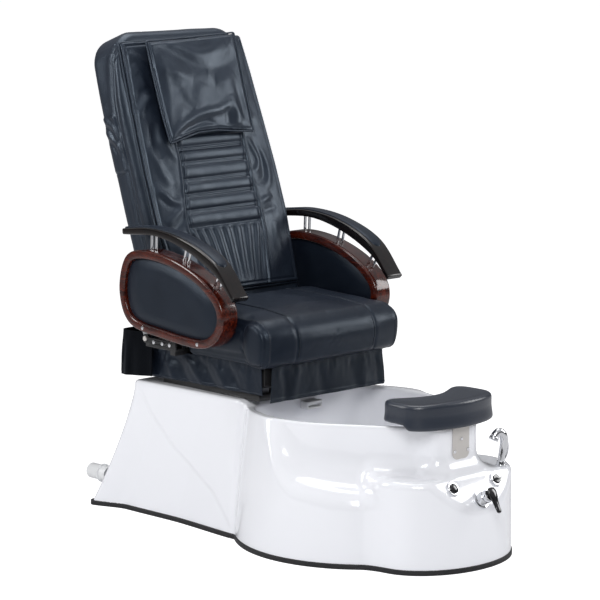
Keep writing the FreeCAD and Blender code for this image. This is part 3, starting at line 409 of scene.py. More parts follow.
def stitches(name, lines):
    """Short threads laid along lines of points in millimetres."""
    points = []
    faces = []
    for line in lines:
        line = np.asarray(line, float)
        run = np.concatenate([[0], np.cumsum(np.linalg.norm(np.diff(line, axis=0), axis=1))])
        place = STITCH_GAP
        while place + STITCH_LENGTH < run[-1]:
            start, end = (np.array([np.interp(s, run, line[:, k]) for k in range(3)])
                          for s in (place, place + STITCH_LENGTH))
            axis = (end - start) / max(np.linalg.norm(end - start), 1e-6)
            side = np.cross(axis, [0.36, 0.48, 0.8])
            side /= np.linalg.norm(side)
            other = np.cross(axis, side)
            faces += skin_faces(len(STITCH_SWELL), len(STITCH_RING), base=len(points))
            for along, part in STITCH_SWELL:
                centre = start + (end - start) * along
                points += [centre + STITCH_R * part * (side * a + other * b) for a, b in STITCH_RING]
            place += STITCH_LENGTH + STITCH_GAP
    return make_mesh(name, points, faces)


# ---- materials ---------------------------------------------------------------------------------
def add_node(tree, kind, output, inputs, **settings):
    """Adds a shader node; each input takes a value or another node's output."""
    node = tree.nodes.new("ShaderNode" + kind)
    for key, value in settings.items():
        setattr(node, key, value)
    for key, value in inputs.items():
        if isinstance(value, bpy.types.NodeSocket):
            tree.links.new(value, node.inputs[key])
        else:
            node.inputs[key].default_value = value
    return node.outputs[output]


def new_material(name, color, roughness, metallic=0.0, coat=0.0, coat_roughness=0.1, specular=0.5):
    material = bpy.data.materials.new(name)
    material.use_nodes = True
    shader = material.node_tree.nodes["Principled BSDF"]
    for key, value in {"Base Color": (*color, 1), "Roughness": roughness, "Metallic": metallic,
                       "Coat Weight": coat, "Coat Roughness": coat_roughness,
                       "Specular IOR Level": specular}.items():
        shader.inputs[key].default_value = value
    return material, material.node_tree, shader


def noise(tree, scale, stretch=(1, 1, 1), **inputs):
    """Procedural noise in object space; scale is in repeats per metre."""
    return add_node(tree, "TexNoise", "Fac", {
        "Scale": scale, "Vector": object_space(tree, stretch), **inputs})


def object_space(tree, stretch=(1, 1, 1)):
    coords = add_node(tree, "TexCoord", "Object", {})
    return add_node(tree, "Mapping", "Vector", {"Scale": stretch, "Vector": coords})


def spread(tree, source, low, high, from_low=0.3, from_high=0.7):
    """Maps a range of a texture's values on to another range."""
    return add_node(tree, "MapRange", "Result", {
        "From Min": from_low, "From Max": from_high, "To Min": low, "To Max": high,
        "Value": source})


def color_mix(tree, factor, first, second):
    return add_node(tree, "Mix", "Result", {
        "A": (*first, 1), "B": (*second, 1), "Factor": factor}, data_type="RGBA")


def bump(tree, shader, sources, distance):
    """Adds heights, given as (output, weight), to the shading normal."""
    total = None
    for output, weight in sources:
        scaled = add_node(tree, "Math", "Value", {0: output, 1: weight}, operation="MULTIPLY")
        total = scaled if total is None else add_node(tree, "Math", "Value",
                                                      {0: total, 1: scaled}, operation="ADD")
    normal = add_node(tree, "Bump", "Normal", {"Distance": distance, "Strength": 1.0,
                                               "Height": total})
    tree.links.new(normal, shader.inputs["Normal"])


def leather_material(name, dark, light, roughness, specular):
    """Grained leather: fine cells and pores, with a slow change of colour and gloss."""
    material, tree, shader = new_material(name, dark, roughness, specular=specular)
    cells = add_node(tree, "TexVoronoi", "Distance", {"Scale": 620.0, "Vector": object_space(tree)},
                     feature="DISTANCE_TO_EDGE")
    fine = noise(tree, 900.0, Detail=4.0)
    broad = noise(tree, 14.0, Detail=3.0)
    tree.links.new(color_mix(tree, broad, dark, light), shader.inputs["Base Color"])
    tree.links.new(spread(tree, broad, roughness - 0.05, roughness + 0.07),
                   shader.inputs["Roughness"])
    for key, value in {"Specular Tint": (0.70, 0.84, 1.0, 1), "Sheen Weight": 0.03,
                       "Sheen Tint": (0.6, 0.72, 1.0, 1)}.items():
        shader.inputs[key].default_value = value
    bump(tree, shader, [(cells, 0.5), (fine, 0.25)], 0.00028)
    return material


def wood_material(name, dark, light, roughness, along, coat):
    """Lacquered wood with its grain drawn out along the piece."""
    material, tree, shader = new_material(name, dark, roughness, coat=coat, coat_roughness=0.04,
                                          specular=0.5 * coat)
    grain = noise(tree, 26.0, along, Detail=8.0, Roughness=0.62, Distortion=0.7)
    pores = noise(tree, 210.0, along, Detail=3.0)
    mix = color_mix(tree, spread(tree, grain, 0, 1, 0.36, 0.66), dark, light)
    tree.links.new(mix, shader.inputs["Base Color"])
    tree.links.new(spread(tree, pores, roughness - 0.05, roughness + 0.1),
                   shader.inputs["Roughness"])
    bump(tree, shader, [(pores, 0.3)], 0.0002)
    return material


def plain_material(name, color, roughness, metallic=0.0, coat=0.0, mottling=0.06, grain_scale=240.0,
                   relief=0.0001, coat_roughness=0.08, stretch=(1, 1, 1)):
    """A moulded, painted or plated finish with slight mottling and fine relief."""
    material, tree, shader = new_material(name, color, roughness, metallic, coat, coat_roughness)
    fine = noise(tree, grain_scale, stretch, Detail=4.0)
    broad = noise(tree, 9.0, Detail=4.0)
    worn = tuple(c * (1 - mottling) for c in color)
    tree.links.new(color_mix(tree, broad, worn, color), shader.inputs["Base Color"])
    tree.links.new(spread(tree, fine, max(0.02, roughness * 0.85), roughness * 1.15),
                   shader.inputs["Roughness"])
    if relief:
        bump(tree, shader, [(fine, 1.0)], relief)
    return material


LEATHER = leather_material(
    "black_leather", (0.0050, 0.0075, 0.0135), (0.0100, 0.0150, 0.0260), 0.36, 0.62)
# painted shade: a darker copy of the black leather, for the front skirt in the shade under the seat
# and for the seat welts in their seams
SHADE_DARKENED_LEATHER = leather_material(
    "shade_darkened_leather", (0.0020, 0.0028, 0.0050), (0.0052, 0.0070, 0.0118), 0.34, 0.50)
# painted shade: a dimmer copy of the black leather, darkened for the shade on the seat, side skirts,
# arm panels and rail pads
SHADE_DIMMED_LEATHER = leather_material(
    "shade_dimmed_leather", (0.0032, 0.0050, 0.0100), (0.0068, 0.0105, 0.0190), 0.36, 0.36)
# painted shadow: a near-black copy of the leather for the rear skirt, which hangs in shadow behind the
# seat
DEEP_SHADE_LEATHER = leather_material(
    "deep_shade_leather", (0.0012, 0.0015, 0.0022), (0.0024, 0.0028, 0.0040), 0.50, 0.04)
THREAD = plain_material("thread", (0.05, 0.055, 0.065), 0.7, grain_scale=900.0, relief=0.0002)
WOOD_GRAIN = (3.0, 0.5, 3.0)
MAHOGANY = wood_material(
    "mahogany", (0.016, 0.0014, 0.0007), (0.092, 0.0115, 0.0032), 0.18, WOOD_GRAIN, 0.6)
EBONY = wood_material(
    "ebony_lacquer", (0.0022, 0.0016, 0.0016), (0.0070, 0.0036, 0.0032), 0.14, WOOD_GRAIN, 0.5)
GELCOAT = plain_material("gelcoat", (0.87, 0.88, 0.92), 0.13, coat=0.7, mottling=0.012,
                         grain_scale=55.0, relief=0.00006, coat_roughness=0.04)
CHROME = plain_material("chrome", (0.80, 0.81, 0.83), 0.07, metallic=1.0, relief=0.00002)
STAINLESS = plain_material("stainless", (0.60, 0.575, 0.55), 0.42, metallic=0.25, relief=0.00005,
                           stretch=(1, 1, 0.05))
ZINC = plain_material("zinc_steel", (0.42, 0.43, 0.45), 0.38, metallic=1.0, mottling=0.2)
BLACK_STEEL = plain_material("black_steel", (0.012, 0.012, 0.013), 0.42, coat=0.2)
RUBBER = plain_material("black_rubber", (0.014, 0.014, 0.016), 0.6, mottling=0.3)
FOAM = plain_material("foot_foam", (0.022, 0.029, 0.045), 0.32, coat=0.3, mottling=0.2,
                      grain_scale=700.0, relief=0.0002, coat_roughness=0.3)
PVC = plain_material("white_pvc", (0.78, 0.79, 0.80), 0.35)
BLACK_GLOSS = plain_material("black_gloss", (0.006, 0.006, 0.007), 0.1, coat=0.6)
BLACK_PLASTIC = plain_material("black_plastic", (0.012, 0.012, 0.013), 0.35)
ROLLER = plain_material("roller_rubber", (0.05, 0.05, 0.055), 0.55)


# ---- tub ---------------------------------------------------------------------------------------
DECK_Z = 410.0
DECK_FRONT_Y = 50.0
RIM_Z = 392.0
PEDESTAL_FOOT = [(296.0, 50.0), (281.0, 321.0), (288.0, 552.0), (331.0, 682.0)]
PEDESTAL_TOP = [(257.0, 50.0), (262.0, 200.0), (272.0, 380.0), (280.0, 518.0)]
BULGE_R = 370.0
BULGE_Y = -190.0
BULGE_TOP_Z = 202.0
NOSE = (236.0, 173.0, -509.0, 262.0)     # half width, half length, centre y, top z
EGG = (297.0, 90.0, -130.0, -494.0)      # wide radius, narrow radius, and their centres' y
BATH_FRONT = (91.0, -520.0, 64.0, 40.0)  # footrest column: half width, centre y, half depth, corner
CREASE = [(0, 40), (120, 160), (170, 250), (230, 350), (320, 450), (400, 500)]      # (z, y)
PEDESTAL_REAR_Y = 682.0
PEDESTAL_REAR_LEAN = 164.0
SWOOSH_DEPTH = 3.5
EDGE_R = 9.0
BASIN_INSET = 19.0
BASIN_FLOOR_Z = 125.0
BASIN_REAR_Y = 39.0
BASIN_FRONT_Y = -505.0
DRAIN_Y = -200.0
DRAIN_R = 22.3
SHOWER_X, SHOWER_Y = 145.0, -608.0
HOSE_HOLE_R = 10.5
HOSE_HOLE_Z = 200.0
TUB_WALL = 5.0
TUB_STEPS = (8.0, 4.5)
TRIM_TOP_Z = 15.0
TRIM_OUT, TRIM_IN = 2.6, 5.0


def egg_distance(x, y, inset=0.0):
    big, small, big_y, small_y = EGG
    along = big_y - y
    length = big_y - small_y
    b = (big - small) / length
    a = math.sqrt(1 - b * b)
    px = np.abs(x)
    k = -b * px + a * along
    side = a * px + b * along - big
    d = np.where(k < 0, np.hypot(px, along) - big,
                 np.where(k > a * length, np.hypot(px, along - length) - small, side))
    return d + inset


def pedestal_distance(x, y, z):
    t = np.clip(z / DECK_Z, 0, 1)
    half = PEDESTAL_FOOT[0][0] + (PEDESTAL_TOP[0][0] - PEDESTAL_FOOT[0][0]) * t
    for i in range(3):
        (x0, y0), (x1, y1) = PEDESTAL_FOOT[i], PEDESTAL_FOOT[i + 1]
        (u0, v0), (u1, v1) = PEDESTAL_TOP[i], PEDESTAL_TOP[i + 1]
        start = y0 + (v0 - y0) * t
        end = y1 + (v1 - y1) * t
        width = (x1 + (u1 - x1) * t) - (x0 + (u0 - x0) * t)
        s = np.clip((y - start) / (end - start), 0, 1)
        half = half + width * (0.4 * s + 0.6 * s * s * (3 - 2 * s))
    crease = table_at(CREASE, z)
    half = half - SWOOSH_DEPTH * smooth(-26.0, 6.0, y - crease) * smooth(DECK_Z, 360.0, z)
    rear = PEDESTAL_REAR_Y - PEDESTAL_REAR_LEAN * (1 - (1 - t) ** 1.35)
    side = (np.abs(x) - half) * 0.985
    d = rmax(side, (y - rear) * 0.92, 20.0)
    d = rmax(d, z - DECK_Z, EDGE_R)
    return rmax(d, DECK_FRONT_Y - y, 22.0)


def bulge_distance(x, y, z):
    r = np.hypot(x, y - BULGE_Y)
    merge = smooth(-290.0, -70.0, y)
    lift = np.clip(z / RIM_Z, 0, 1)
    side = (r - BULGE_R + 0.018 * z + 64.0 * merge * lift ** 1.7) * (1 - 0.04 * merge)
    climb = 20.0 * smooth(-420.0, -230.0, y) + 170.0 * merge ** 1.4
    top = (z - BULGE_TOP_Z - 0.42 * np.clip(BULGE_R - r, 0, 120) - climb) * 0.88
    return rmax(side, top, 34.0)


def nose_distance(x, y, z):
    half_width, half_length, centre_y, top_z = NOSE
    ex, ey = x / half_width, (y - centre_y) / half_length
    r = np.hypot(ex, ey)
    slope = np.hypot(ex / half_width, ey / half_length)
    side = r * (r - 1) / np.maximum(slope, 1e-6)
    side = np.where(r < 0.2, -half_length * 0.8, side) + 0.01 * z
    body = rmax(side, z - top_z, 20.0)
    console = ((y - CONSOLE_TOP[1]) * -math.cos(CONSOLE_TILT)
               + (z - CONSOLE_TOP[2]) * math.sin(CONSOLE_TILT))
    return rmax(body, console, EDGE_R)


def bath_wall_distance(x, y, z):
    egg = egg_distance(x, y)
    half_width, centre_y, half_depth, corner = BATH_FRONT
    column = rmax(np.abs(x) - half_width, np.abs(y - centre_y) - half_depth, corner)
    fillet = 5.0 + 17.0 * smooth(36.0, 84.0, np.abs(x))
    return rmax(rmin(egg, column, fillet), z - RIM_Z, 8.0)


def tub_outside(x, y, z):
    lower = rmin(bulge_distance(x, y, z), nose_distance(x, y, z), 42.0)
    bath = rmin(lower, bath_wall_distance(x, y, z), 60.0)
    bath = np.maximum(bath, z - RIM_Z)
    return rmin(bath, pedestal_distance(x, y, z), 22.0)


def basin_distance(x, y, z):
    d = rmax(egg_distance(x, y, BASIN_INSET), BASIN_FRONT_Y - y, 45.0)
    d = rmax(d, y - BASIN_REAR_Y, 40.0)
    return rmax(d, BASIN_FLOOR_Z - z, 34.0)


def tub_distance(x, y, z):
    d = rmax(tub_outside(x, y, z), -basin_distance(x, y, z), EDGE_R)
    d = np.maximum(d, DRAIN_R - np.hypot(x, y - DRAIN_Y))
    hose_hole = np.maximum(HOSE_HOLE_R - np.hypot(x - SHOWER_X, y - SHOWER_Y), HOSE_HOLE_Z - z)
    return np.where(z > HOSE_HOLE_Z, np.maximum(d, hose_hole), d)


def cut_at_floor(obj):
    bm = bmesh.new()
    bm.from_mesh(obj.data)
    bmesh.ops.bisect_plane(bm, geom=bm.verts[:] + bm.edges[:] + bm.faces[:], dist=1e-6,
                           plane_co=(0, 0, 0.0002), plane_no=(0, 0, 1), clear_inner=True)
    bm.to_mesh(obj.data)
    bm.free()
    obj.data.shade_smooth()


def build_tub():
    tub = field_mesh("tub_moulding", tub_distance, (-380, -700, -14), (380, 700, 424), TUB_STEPS)
    cut_at_floor(tub)
    add_modifier(tub, "SOLIDIFY", thickness=TUB_WALL * MM, offset=-1.0)
    finish_piece(tub, GELCOAT, "base", ("base_shell", "basin"))


def build_trim():
    def strip(x, y, z):
        outer = tub_outside(x, y, np.full_like(z, 2.0))
        return rmax(np.maximum(outer - TRIM_OUT, -outer - TRIM_IN), z - TRIM_TOP_Z, 1.0)

    trim = field_mesh("foot_trim", strip, (-385, -705, -9), (385, 705, 22), TUB_STEPS)
    cut_at_floor(trim)
    finish_piece(trim, RUBBER, "base", ("rubber_trim",))


# ---- seat --------------------------------------------------------------------------------------
CUSHION_BOTTOM = 516.0
CUSHION_HALF = 280.0
CUSHION_FRONT_Y = -90.0
CUSHION_CORNER_BACK = 20.0
CUSHION_SIDE_X = 274.0
CUSHION_REAR = (314.0, 676.0, 0.976, 0.22)     # a point (y, z) of the rear face, and its normal
CUSHION_TOP = [(-110, 646), (-50, 655), (60, 666), (316, 673)]    # (y, z)
PANEL_SEAM_X = 154.0
SIDE_SEAM_X = 268.0
WELT_X = 160.0
SHEET_THICKNESS = 2.4
SKIRT_SAG = 3.0
HEM_ROLL = 1.5
FRONT_FOLDS = [    # place along the skirt, lean to the hem, width, height
    (0.10, 0.03, 0.030, 5.0), (0.23, -0.04, 0.035, -4.5), (0.40, 0.05, 0.045, 4.5),
    (0.56, -0.05, 0.05, -3.5), (0.70, 0.06, 0.045, 4.0), (0.84, -0.03, 0.04, -4.0),
    (0.93, 0.02, 0.025, 4.0)]
SIDE_FOLDS = [
    (0.16, -0.05, 0.035, -3.5), (0.31, -0.12, 0.040, 5.0), (0.43, -0.13, 0.035, -4.5),
    (0.55, -0.15, 0.045, 6.0), (0.66, -0.15, 0.035, -5.0), (0.77, -0.13, 0.040, 6.0),
    (0.86, -0.10, 0.030, -4.5), (0.94, -0.06, 0.030, 4.0)]
DRAPE_PLAN = [(-273, 430), (-273, 500), (-272, 545), (-262, 580), (-232, 593), (-120, 594), (0, 592),
              (120, 594), (232, 593), (262, 580), (272, 545), (273, 500), (273, 430)]
DRAPE_TOP = [(430, 553), (470, 562), (592, 556)]     # (y, z)
DRAPE_HEM = [(430, 432), (592, 416)]


def cushion_distance(x, y, z):
    bow = (x / CUSHION_HALF) ** 2
    front_y = CUSHION_FRONT_Y + CUSHION_CORNER_BACK * (x / CUSHION_HALF) ** 4
    front_y = front_y + 7.0 * ((z - 585.0) / 60.0) ** 2
    top_z = table_at(CUSHION_TOP, y) - 9.0 * bow * bow
    side_x = CUSHION_SIDE_X + 9.0 * smooth(26.0, -10.0, y) - 5.0 * ((z - 595.0) / 70.0) ** 2
    rear_y, rear_z, rear_back, rear_down = CUSHION_REAR
    rear = (y - rear_y) * rear_back - (z - rear_z) * rear_down
    body = rmax((front_y - y) * 0.98, z - top_z, 44.0)
    body = rmax(body, CUSHION_BOTTOM + 1.0 - z, 24.0)
    body = rmax(body, rear, 24.0)
    return rmax(body, (np.abs(x) - side_x) * 0.99, 20.0)


def build_seat_cushion():
    cushion = field_mesh("seat_pad", cushion_distance, (-294, -112, 505), (294, 332, 690),
                         (12.0, 7.0))
    p, n = puff_and_refine(cushion, 2.0)
    x, y, z = p.T
    height = np.zeros(len(p))
    for seam_x in (-PANEL_SEAM_X, PANEL_SEAM_X):
        line = np.abs(x - seam_x - 6.0 * np.sign(seam_x) * smooth(300, -80, y))
        height += -2.0 * ridge(line, 4.5) * smooth(CUSHION_BOTTOM, 530, z)
        height += 0.5 * ridge(line - 14, 9)
    front = smooth(20.0, -60.0, y)
    for side in (-1.0, 1.0):
        d = np.abs(side * x - SIDE_SEAM_X)
        height += -2.2 * ridge(d - 2.0, 2.6) * (side * x > 0)
        height += 1.6 * ridge(d - 9.0, 4.0) * (side * x > 0)
    wrinkle = value_noise(p * [1.0, 0.35, 0.6], 26.0, 5)
    edge = ridge(np.abs(x) - SIDE_SEAM_X, 26.0)
    height += 0.45 * wrinkle * edge + 0.5 * value_noise(p, 120.0, 8)
    height += 0.3 * front * value_noise(p * [0.5, 1.0, 2.0], 60.0, 9)
    emboss(cushion, p, n, height)
    finish_piece(cushion, SHADE_DIMMED_LEATHER, "seat", ("seat_cushion",))
    return cushion


def surface_line(obj, path, lift=0.4):
    """Drops points of a path on to the nearest skin of an object."""
    bm = bmesh.new()
    bm.from_mesh(obj.data)
    tree = BVHTree.FromBMesh(bm)
    bm.free()
    out = []
    for point in path:
        place, normal, _, _ = tree.find_nearest(Vector(point) * MM)
        place = np.array(place + normal * lift * MM) / MM
        if not out or np.linalg.norm(place - out[-1]) > 1.0:
            out.append(place)
    return np.array(out)


def build_seat_stitches(cushion):
    lines = []
    for side in (-1, 1):
        for offset in (5.5, 12.5):
            x = side * (SIDE_SEAM_X - offset)
            path = [(x, -80, z) for z in np.linspace(532, 615, 40)]
            path += [(x, y, 656) for y in np.linspace(-40, 300, 120)]
            lines.append(surface_line(cushion, path))
    thread = stitches("seat_stitching", lines)
    finish_piece(thread, THREAD, "seat")
    welts = []
    for side in (-1, 1):
        path = [(side * (WELT_X - 6.0 * smooth(-80, 300, y)), y, 690.0)
                for y in np.linspace(300, -40, 90)]
        path += [(side * WELT_X, -120.0, z) for z in np.linspace(640, 530, 50)]
        welts.append(tube("seat_welt", surface_line(cushion, path, 0.0), 1.5, sides=8))
    finish_piece(join("seat_welts", welts), SHADE_DARKENED_LEATHER, "seat")


def skirt_sheet(name, top, bottom, depth_of, rows, columns):
    """A hanging leather panel between two edges, with folds along its length.

    top and bottom are corner points; depth_of(s, t) gives the distance out of the flat panel,
    s along the panel and t from its top (0) to its hem (1)."""
    top = np.asarray(top, float)
    bottom = np.asarray(bottom, float)
    across = top[1] - top[0]
    down = bottom[0] - top[0]
    normal = np.cross(across, down)
    normal /= np.linalg.norm(normal)
    s, t = np.meshgrid(np.linspace(0, 1, columns), np.linspace(0, 1, rows))
    upper = top[0] + s[..., None] * across
    lower = bottom[0] + s[..., None] * (bottom[1] - bottom[0])
    sheet = upper + t[..., None] * (lower - upper) + normal * depth_of(s, t)[..., None]
    obj = stacked(name, sheet, closed_rings=False, caps=False)
    add_modifier(obj, "SOLIDIFY", thickness=SHEET_THICKNESS * MM, offset=0.0)
    return obj


def hem_and_folds(folds, gather, seed):
    """Depth of a skirt: tapered vertical folds, a rolled hem and small gathers under its top."""
    def depth(s, t):
        total = np.zeros_like(s)
        for centre, lean, width, height in folds:
            line = centre + lean * t
            fade = smooth(0.02, 0.35, t) * (1.0 - 0.35 * t)
            total += height * ridge(s - line, width) * fade
        grain = np.stack([s.ravel() * 600, t.ravel() * 110, np.zeros(s.size)], axis=1)
        total += gather * (value_noise(grain * [1, 0.5, 1], 17.0, seed).reshape(s.shape)
                           * ridge(t, 0.45))
        total += 0.3 * value_noise(grain, 16.0, seed + 1).reshape(s.shape)
        total += SKIRT_SAG * value_noise(grain, 60.0, seed + 2).reshape(s.shape) * t
        total += HEM_ROLL * (ridge(t - 0.93, 0.02) * -0.8 + ridge(t - 0.975, 0.03))
        return total
    return depth


def build_skirts():
    front = hem_and_folds(FRONT_FOLDS, 2.0, 21)
    piece = skirt_sheet("skirt_front", [(-222, -46, 530), (226, -46, 530)],
                        [(-238, -54, 414), (233, -52, 410)], front, 60, 220)
    finish_piece(piece, SHADE_DARKENED_LEATHER, "seat", ("front_skirt",))
    sides = []
    for side in (-1, 1):
        folds = hem_and_folds(SIDE_FOLDS, 2.2, 31 + side)
        ends = [(side * 246.0, -24, 526), (side * 258.0, 468, 514)]
        hem = [(side * 246.0, -30, 434), (side * 260.0, 470, 428)]
        if side < 0:
            ends, hem, folds = ends[::-1], hem[::-1], from_other_end(folds)
        sides.append(skirt_sheet("skirt_side", ends, hem, folds, 50, 230))
    for piece in sides:
        bake(piece)
    skirt = join("skirt_sides", sides)
    finish_piece(skirt, SHADE_DIMMED_LEATHER, "seat", ("side_skirts",))


def from_other_end(depth):
    return lambda s, t: depth(1 - s, t)


def build_rear_drape():
    """Skirt behind the seat: a loose panel with wrapped ends that hangs clear of the back."""
    count, rows = 300, 50
    plan = spline(DRAPE_PLAN, count)
    out = np.stack([np.gradient(plan[:, 1]), -np.gradient(plan[:, 0])], axis=1)
    out /= np.linalg.norm(out, axis=1)[:, None]
    upper = table_at(DRAPE_TOP, plan[:, 1])
    lower = table_at(DRAPE_HEM, plan[:, 1])
    s = np.linspace(0, 1, count)
    rings = []
    for row in range(rows):
        t = row / (rows - 1)
        grain = np.stack([s * 1100, np.full(count, t * 110), np.zeros(count)], axis=1)
        wave = (4.0 * np.sin(2 * math.pi * 9 * s + 1.3 * np.sin(7 * s)) * smooth(0.0, 0.7, t)
                + 2.4 * value_noise(grain, 48.0, 47))
        wave = wave * (1.0 - 0.6 * smooth(560, 500, plan[:, 1])) + 1.2 * ridge(t - 0.97, 0.04)
        place = plan + out * (wave * 0.7 - 6.0 * t)[:, None]
        rings.append(np.column_stack([place, upper + (lower - upper) * t]))
    piece = stacked("skirt_rear", rings, closed_rings=False, caps=False)
    add_modifier(piece, "SOLIDIFY", thickness=SHEET_THICKNESS * MM, offset=0.0)
    finish_piece(piece, DEEP_SHADE_LEATHER, "seat", ("rear_skirt",))


# ---- arms --------------------------------------------------------------------------------------
ARM_INNER = 282.0
ARM_OUTER = 346.0
ARM_BAND = 26.0
RING_OUTER_R = 7.0
RING_INNER_R = 5.0
WEB_X = (311.0, 317.0)
RAIL_X = (286.0, 346.0)
RAIL_PAD_X = (295.0, 337.0)
ARM_OVAL = [(475, 795), (397, 827), (257, 815), (122, 767), (42, 697), (46, 617), (125, 564),
            (300, 571), (453, 598), (501, 690)]
RAIL_TOP = [(481, 884), (350, 896), (211, 879), (77, 826), (-16, 727)]
RAIL_BOTTOM = [(479, 866), (327, 874), (189, 844), (64, 785), (-6, 716)]


def oval_loop(inset, count=160):
    loop = spline(ARM_OVAL, count, closed=True)
    tangent = np.roll(loop, -1, axis=0) - np.roll(loop, 1, axis=0)
    tangent /= np.linalg.norm(tangent, axis=1)[:, None]
    normal = np.stack([-tangent[:, 1], tangent[:, 0]], axis=1)
    return loop + normal * inset


def at_x(loop, x):
    return np.stack([np.full(len(loop), x), loop[:, 0], loop[:, 1]], axis=1)


def ring_section():
    """Section of the wooden ring as (inset, x): rounded outside, flat against the web."""
    big, small = RING_OUTER_R, RING_INNER_R
    inset = ARM_BAND - small
    return (corner_arc(big, ARM_INNER + big, big, 180, 6)
            + corner_arc(inset, ARM_INNER + small, small, 270, 5)
            + corner_arc(inset, ARM_OUTER - small, small, 0, 5)
            + corner_arc(big, ARM_OUTER - big, big, 90, 6))


def mirror_x(points, side):
    points = np.array(points, float)
    points[..., 0] *= side
    return points


def build_arm(side, word):
    body = "arm_" + word
    rings = [at_x(oval_loop(inset), x) for inset, x in ring_section()]
    rings.append(rings[0])
    ring = stacked("armrest_ring_" + word, mirror_x(rings, side), caps=False)
    web = stacked("web", mirror_x([at_x(oval_loop(ARM_BAND - 3.0), x) for x in WEB_X], side))
    ring = join("armrest_ring_" + word, [ring, web])
    finish_piece(ring, MAHOGANY, body, ("arm_frame_" + word,))
    pads = []
    for base_x, out_x, direction in ((WEB_X[0], ARM_INNER + 3.0, -1), (WEB_X[1], ARM_OUTER - 3.0, 1)):
        loops = []
        outer = oval_loop(ARM_BAND + 0.6)
        centre = outer.mean(axis=0)
        reach = abs(out_x - base_x)
        for t in np.concatenate([[0.0, 0.35, 0.6, 0.78], np.linspace(0.88, 1.0, 4)]):
            loops.append(at_x(outer, base_x + direction * reach * 0.62 * math.sin(t * math.pi / 2)))
        for t in np.linspace(0.02, 0.97, 26):
            loop = outer + (centre - outer) * t ** 1.15
            lift = 0.62 + 0.38 * math.sin(min(1.0, t / 0.42) * math.pi / 2)
            loops.append(at_x(loop, base_x + direction * reach * lift))
        pad = stacked("pad", mirror_x(loops, side))
        p = read_points(pad)
        emboss(pad, p, read_normals(pad), 0.35 * value_noise(p, 45.0, 3))
        pads.append(pad)
    pad = join("armrest_panels_" + word, pads)
    finish_piece(pad, SHADE_DIMMED_LEATHER, body, ("arm_pads_" + word,))
    build_rail(side, word, body)


def along_line(line, s):
    i = min(int(s), len(line) - 2)
    return line[i] + (line[i + 1] - line[i]) * (s - i)


def rail_sections(count, sides_x, corner, lower=0.0, raise_top=0.0, end=1.0):
    """Rounded rectangles across the rail, from its rear end towards its front tip."""
    x0, x1 = sides_x
    top = spline(RAIL_TOP, 200)
    bottom = spline(RAIL_BOTTOM, 200)
    rings = []
    for k in range(count):
        s = (end * k / (count - 1)) * 199
        under = along_line(bottom, s)
        axis = along_line(top, s) - under
        height = np.linalg.norm(axis)
        axis /= height
        under = under + axis * lower
        height = height - lower + raise_top
        section = (corner_arc(x1 - corner, height - corner, corner, 0, 5)
                   + corner_arc(x0 + corner, height - corner, corner, 90, 5)
                   + corner_arc(x0 + corner, corner, corner, 180, 5)
                   + corner_arc(x1 - corner, corner, corner, 270, 5))
        rings.append([(x, *(under + axis * up)) for x, up in section])
    return np.array(rings)


def build_rail(side, word, body):
    rings = rail_sections(90, RAIL_X, 5.0)
    middle = rings.mean(axis=1, keepdims=True)
    ends = [middle[0] + (rings[0] - middle[0]) * f for f in (0.82, 0.95)]
    tips = [middle[-1] + (rings[-1] - middle[-1]) * f for f in (0.96, 0.85)]
    rings = np.concatenate([ends, rings, tips])
    rail = stacked("armrest_rail_" + word, mirror_x(rings, side))
    finish_piece(rail, EBONY, body, ("arm_rail_" + word,))
    rings = rail_sections(70, RAIL_PAD_X, 4.0, lower=8.0, raise_top=3.6, end=0.80)
    centre_x = sum(RAIL_PAD_X) / 2
    for t, ring in zip(np.linspace(0, 1, len(rings)), rings):
        narrow = math.sqrt(max(0.0, 1 - max(0.0, (t - 0.93) / 0.07) ** 2)) * 0.98 + 0.02
        narrow = min(narrow, 0.9 + 0.1 * min(1.0, t / 0.01))
        ring[:, 0] = centre_x + (ring[:, 0] - centre_x) * narrow
        crown = 1.6 * (1 - ((ring[:, 0] - centre_x) / 22.0) ** 2)
        ring[:, 2] += np.where(ring[:, 2] > ring[:, 2].mean(), crown, 0)
    pad = stacked("armrest_top_" + word, mirror_x(rings, side))
    finish_piece(pad, SHADE_DIMMED_LEATHER, body, ("arm_rail_pad_" + word,))


# ---- back --------------------------------------------------------------------------------------
BACK_TOP = 838.0
BACK_BOTTOM = -66.0
BACK_WALL = 8.0
BACK_HALF = 266.0
BACK_TAPER = 14.0
BACK_V_FRONT, BACK_V_REAR = 25.0, 173.0
BACK_PAD_V = 114.0     # rear face of the padding, in front of the hollow
ROLLER_CHANNEL = ((0.0, 97.0), (360.0, 302.0), (70.0, 48.0))     # centre and half size on x, u, v


def back_cover_distance(x, u, v):
    half_width = BACK_HALF - BACK_TAPER * smooth(560.0, 830.0, u)
    outline = rmax(np.abs(x) - half_width, u - BACK_TOP, 84.0)
    outline = rmax(outline, BACK_BOTTOM - u, 16.0)
    body = rmax(outline, BACK_V_FRONT - v, 27.0)
    body = rmax(body, v - BACK_V_REAR + 12.0 * (x / 264.0) ** 2, 34.0)
    channel = np.maximum.reduce([np.abs(place - centre) - half
                                 for place, (centre, half) in zip((x, u, v), ROLLER_CHANNEL)])
    hollow = np.maximum(body + BACK_WALL, BACK_PAD_V - v)
    return np.maximum(body, -np.minimum(channel, hollow))


COVER_SIDE_X = 262.0
SIDE_SEAM = [(800, 20), (740, 50), (640, 68), (492, 77), (404, 75), (274, 80), (100, 84), (-60, 86)]
POCKET = [(604, 168), (428, 164), (413, 78), (489, 70), (590, 84)]
POCKET_FOLDS = [
    ([(598, 150), (560, 104), (514, 90)], 3.6, 8.0),
    ([(586, 160), (545, 116), (500, 96)], -3.2, 8.0),
    ([(560, 158), (519, 112), (476, 86)], 3.2, 8.0),
    ([(540, 160), (500, 120), (455, 96)], -2.4, 8.0),
    ([(600, 120), (585, 90), (560, 82)], 2.2, 7.0),
]


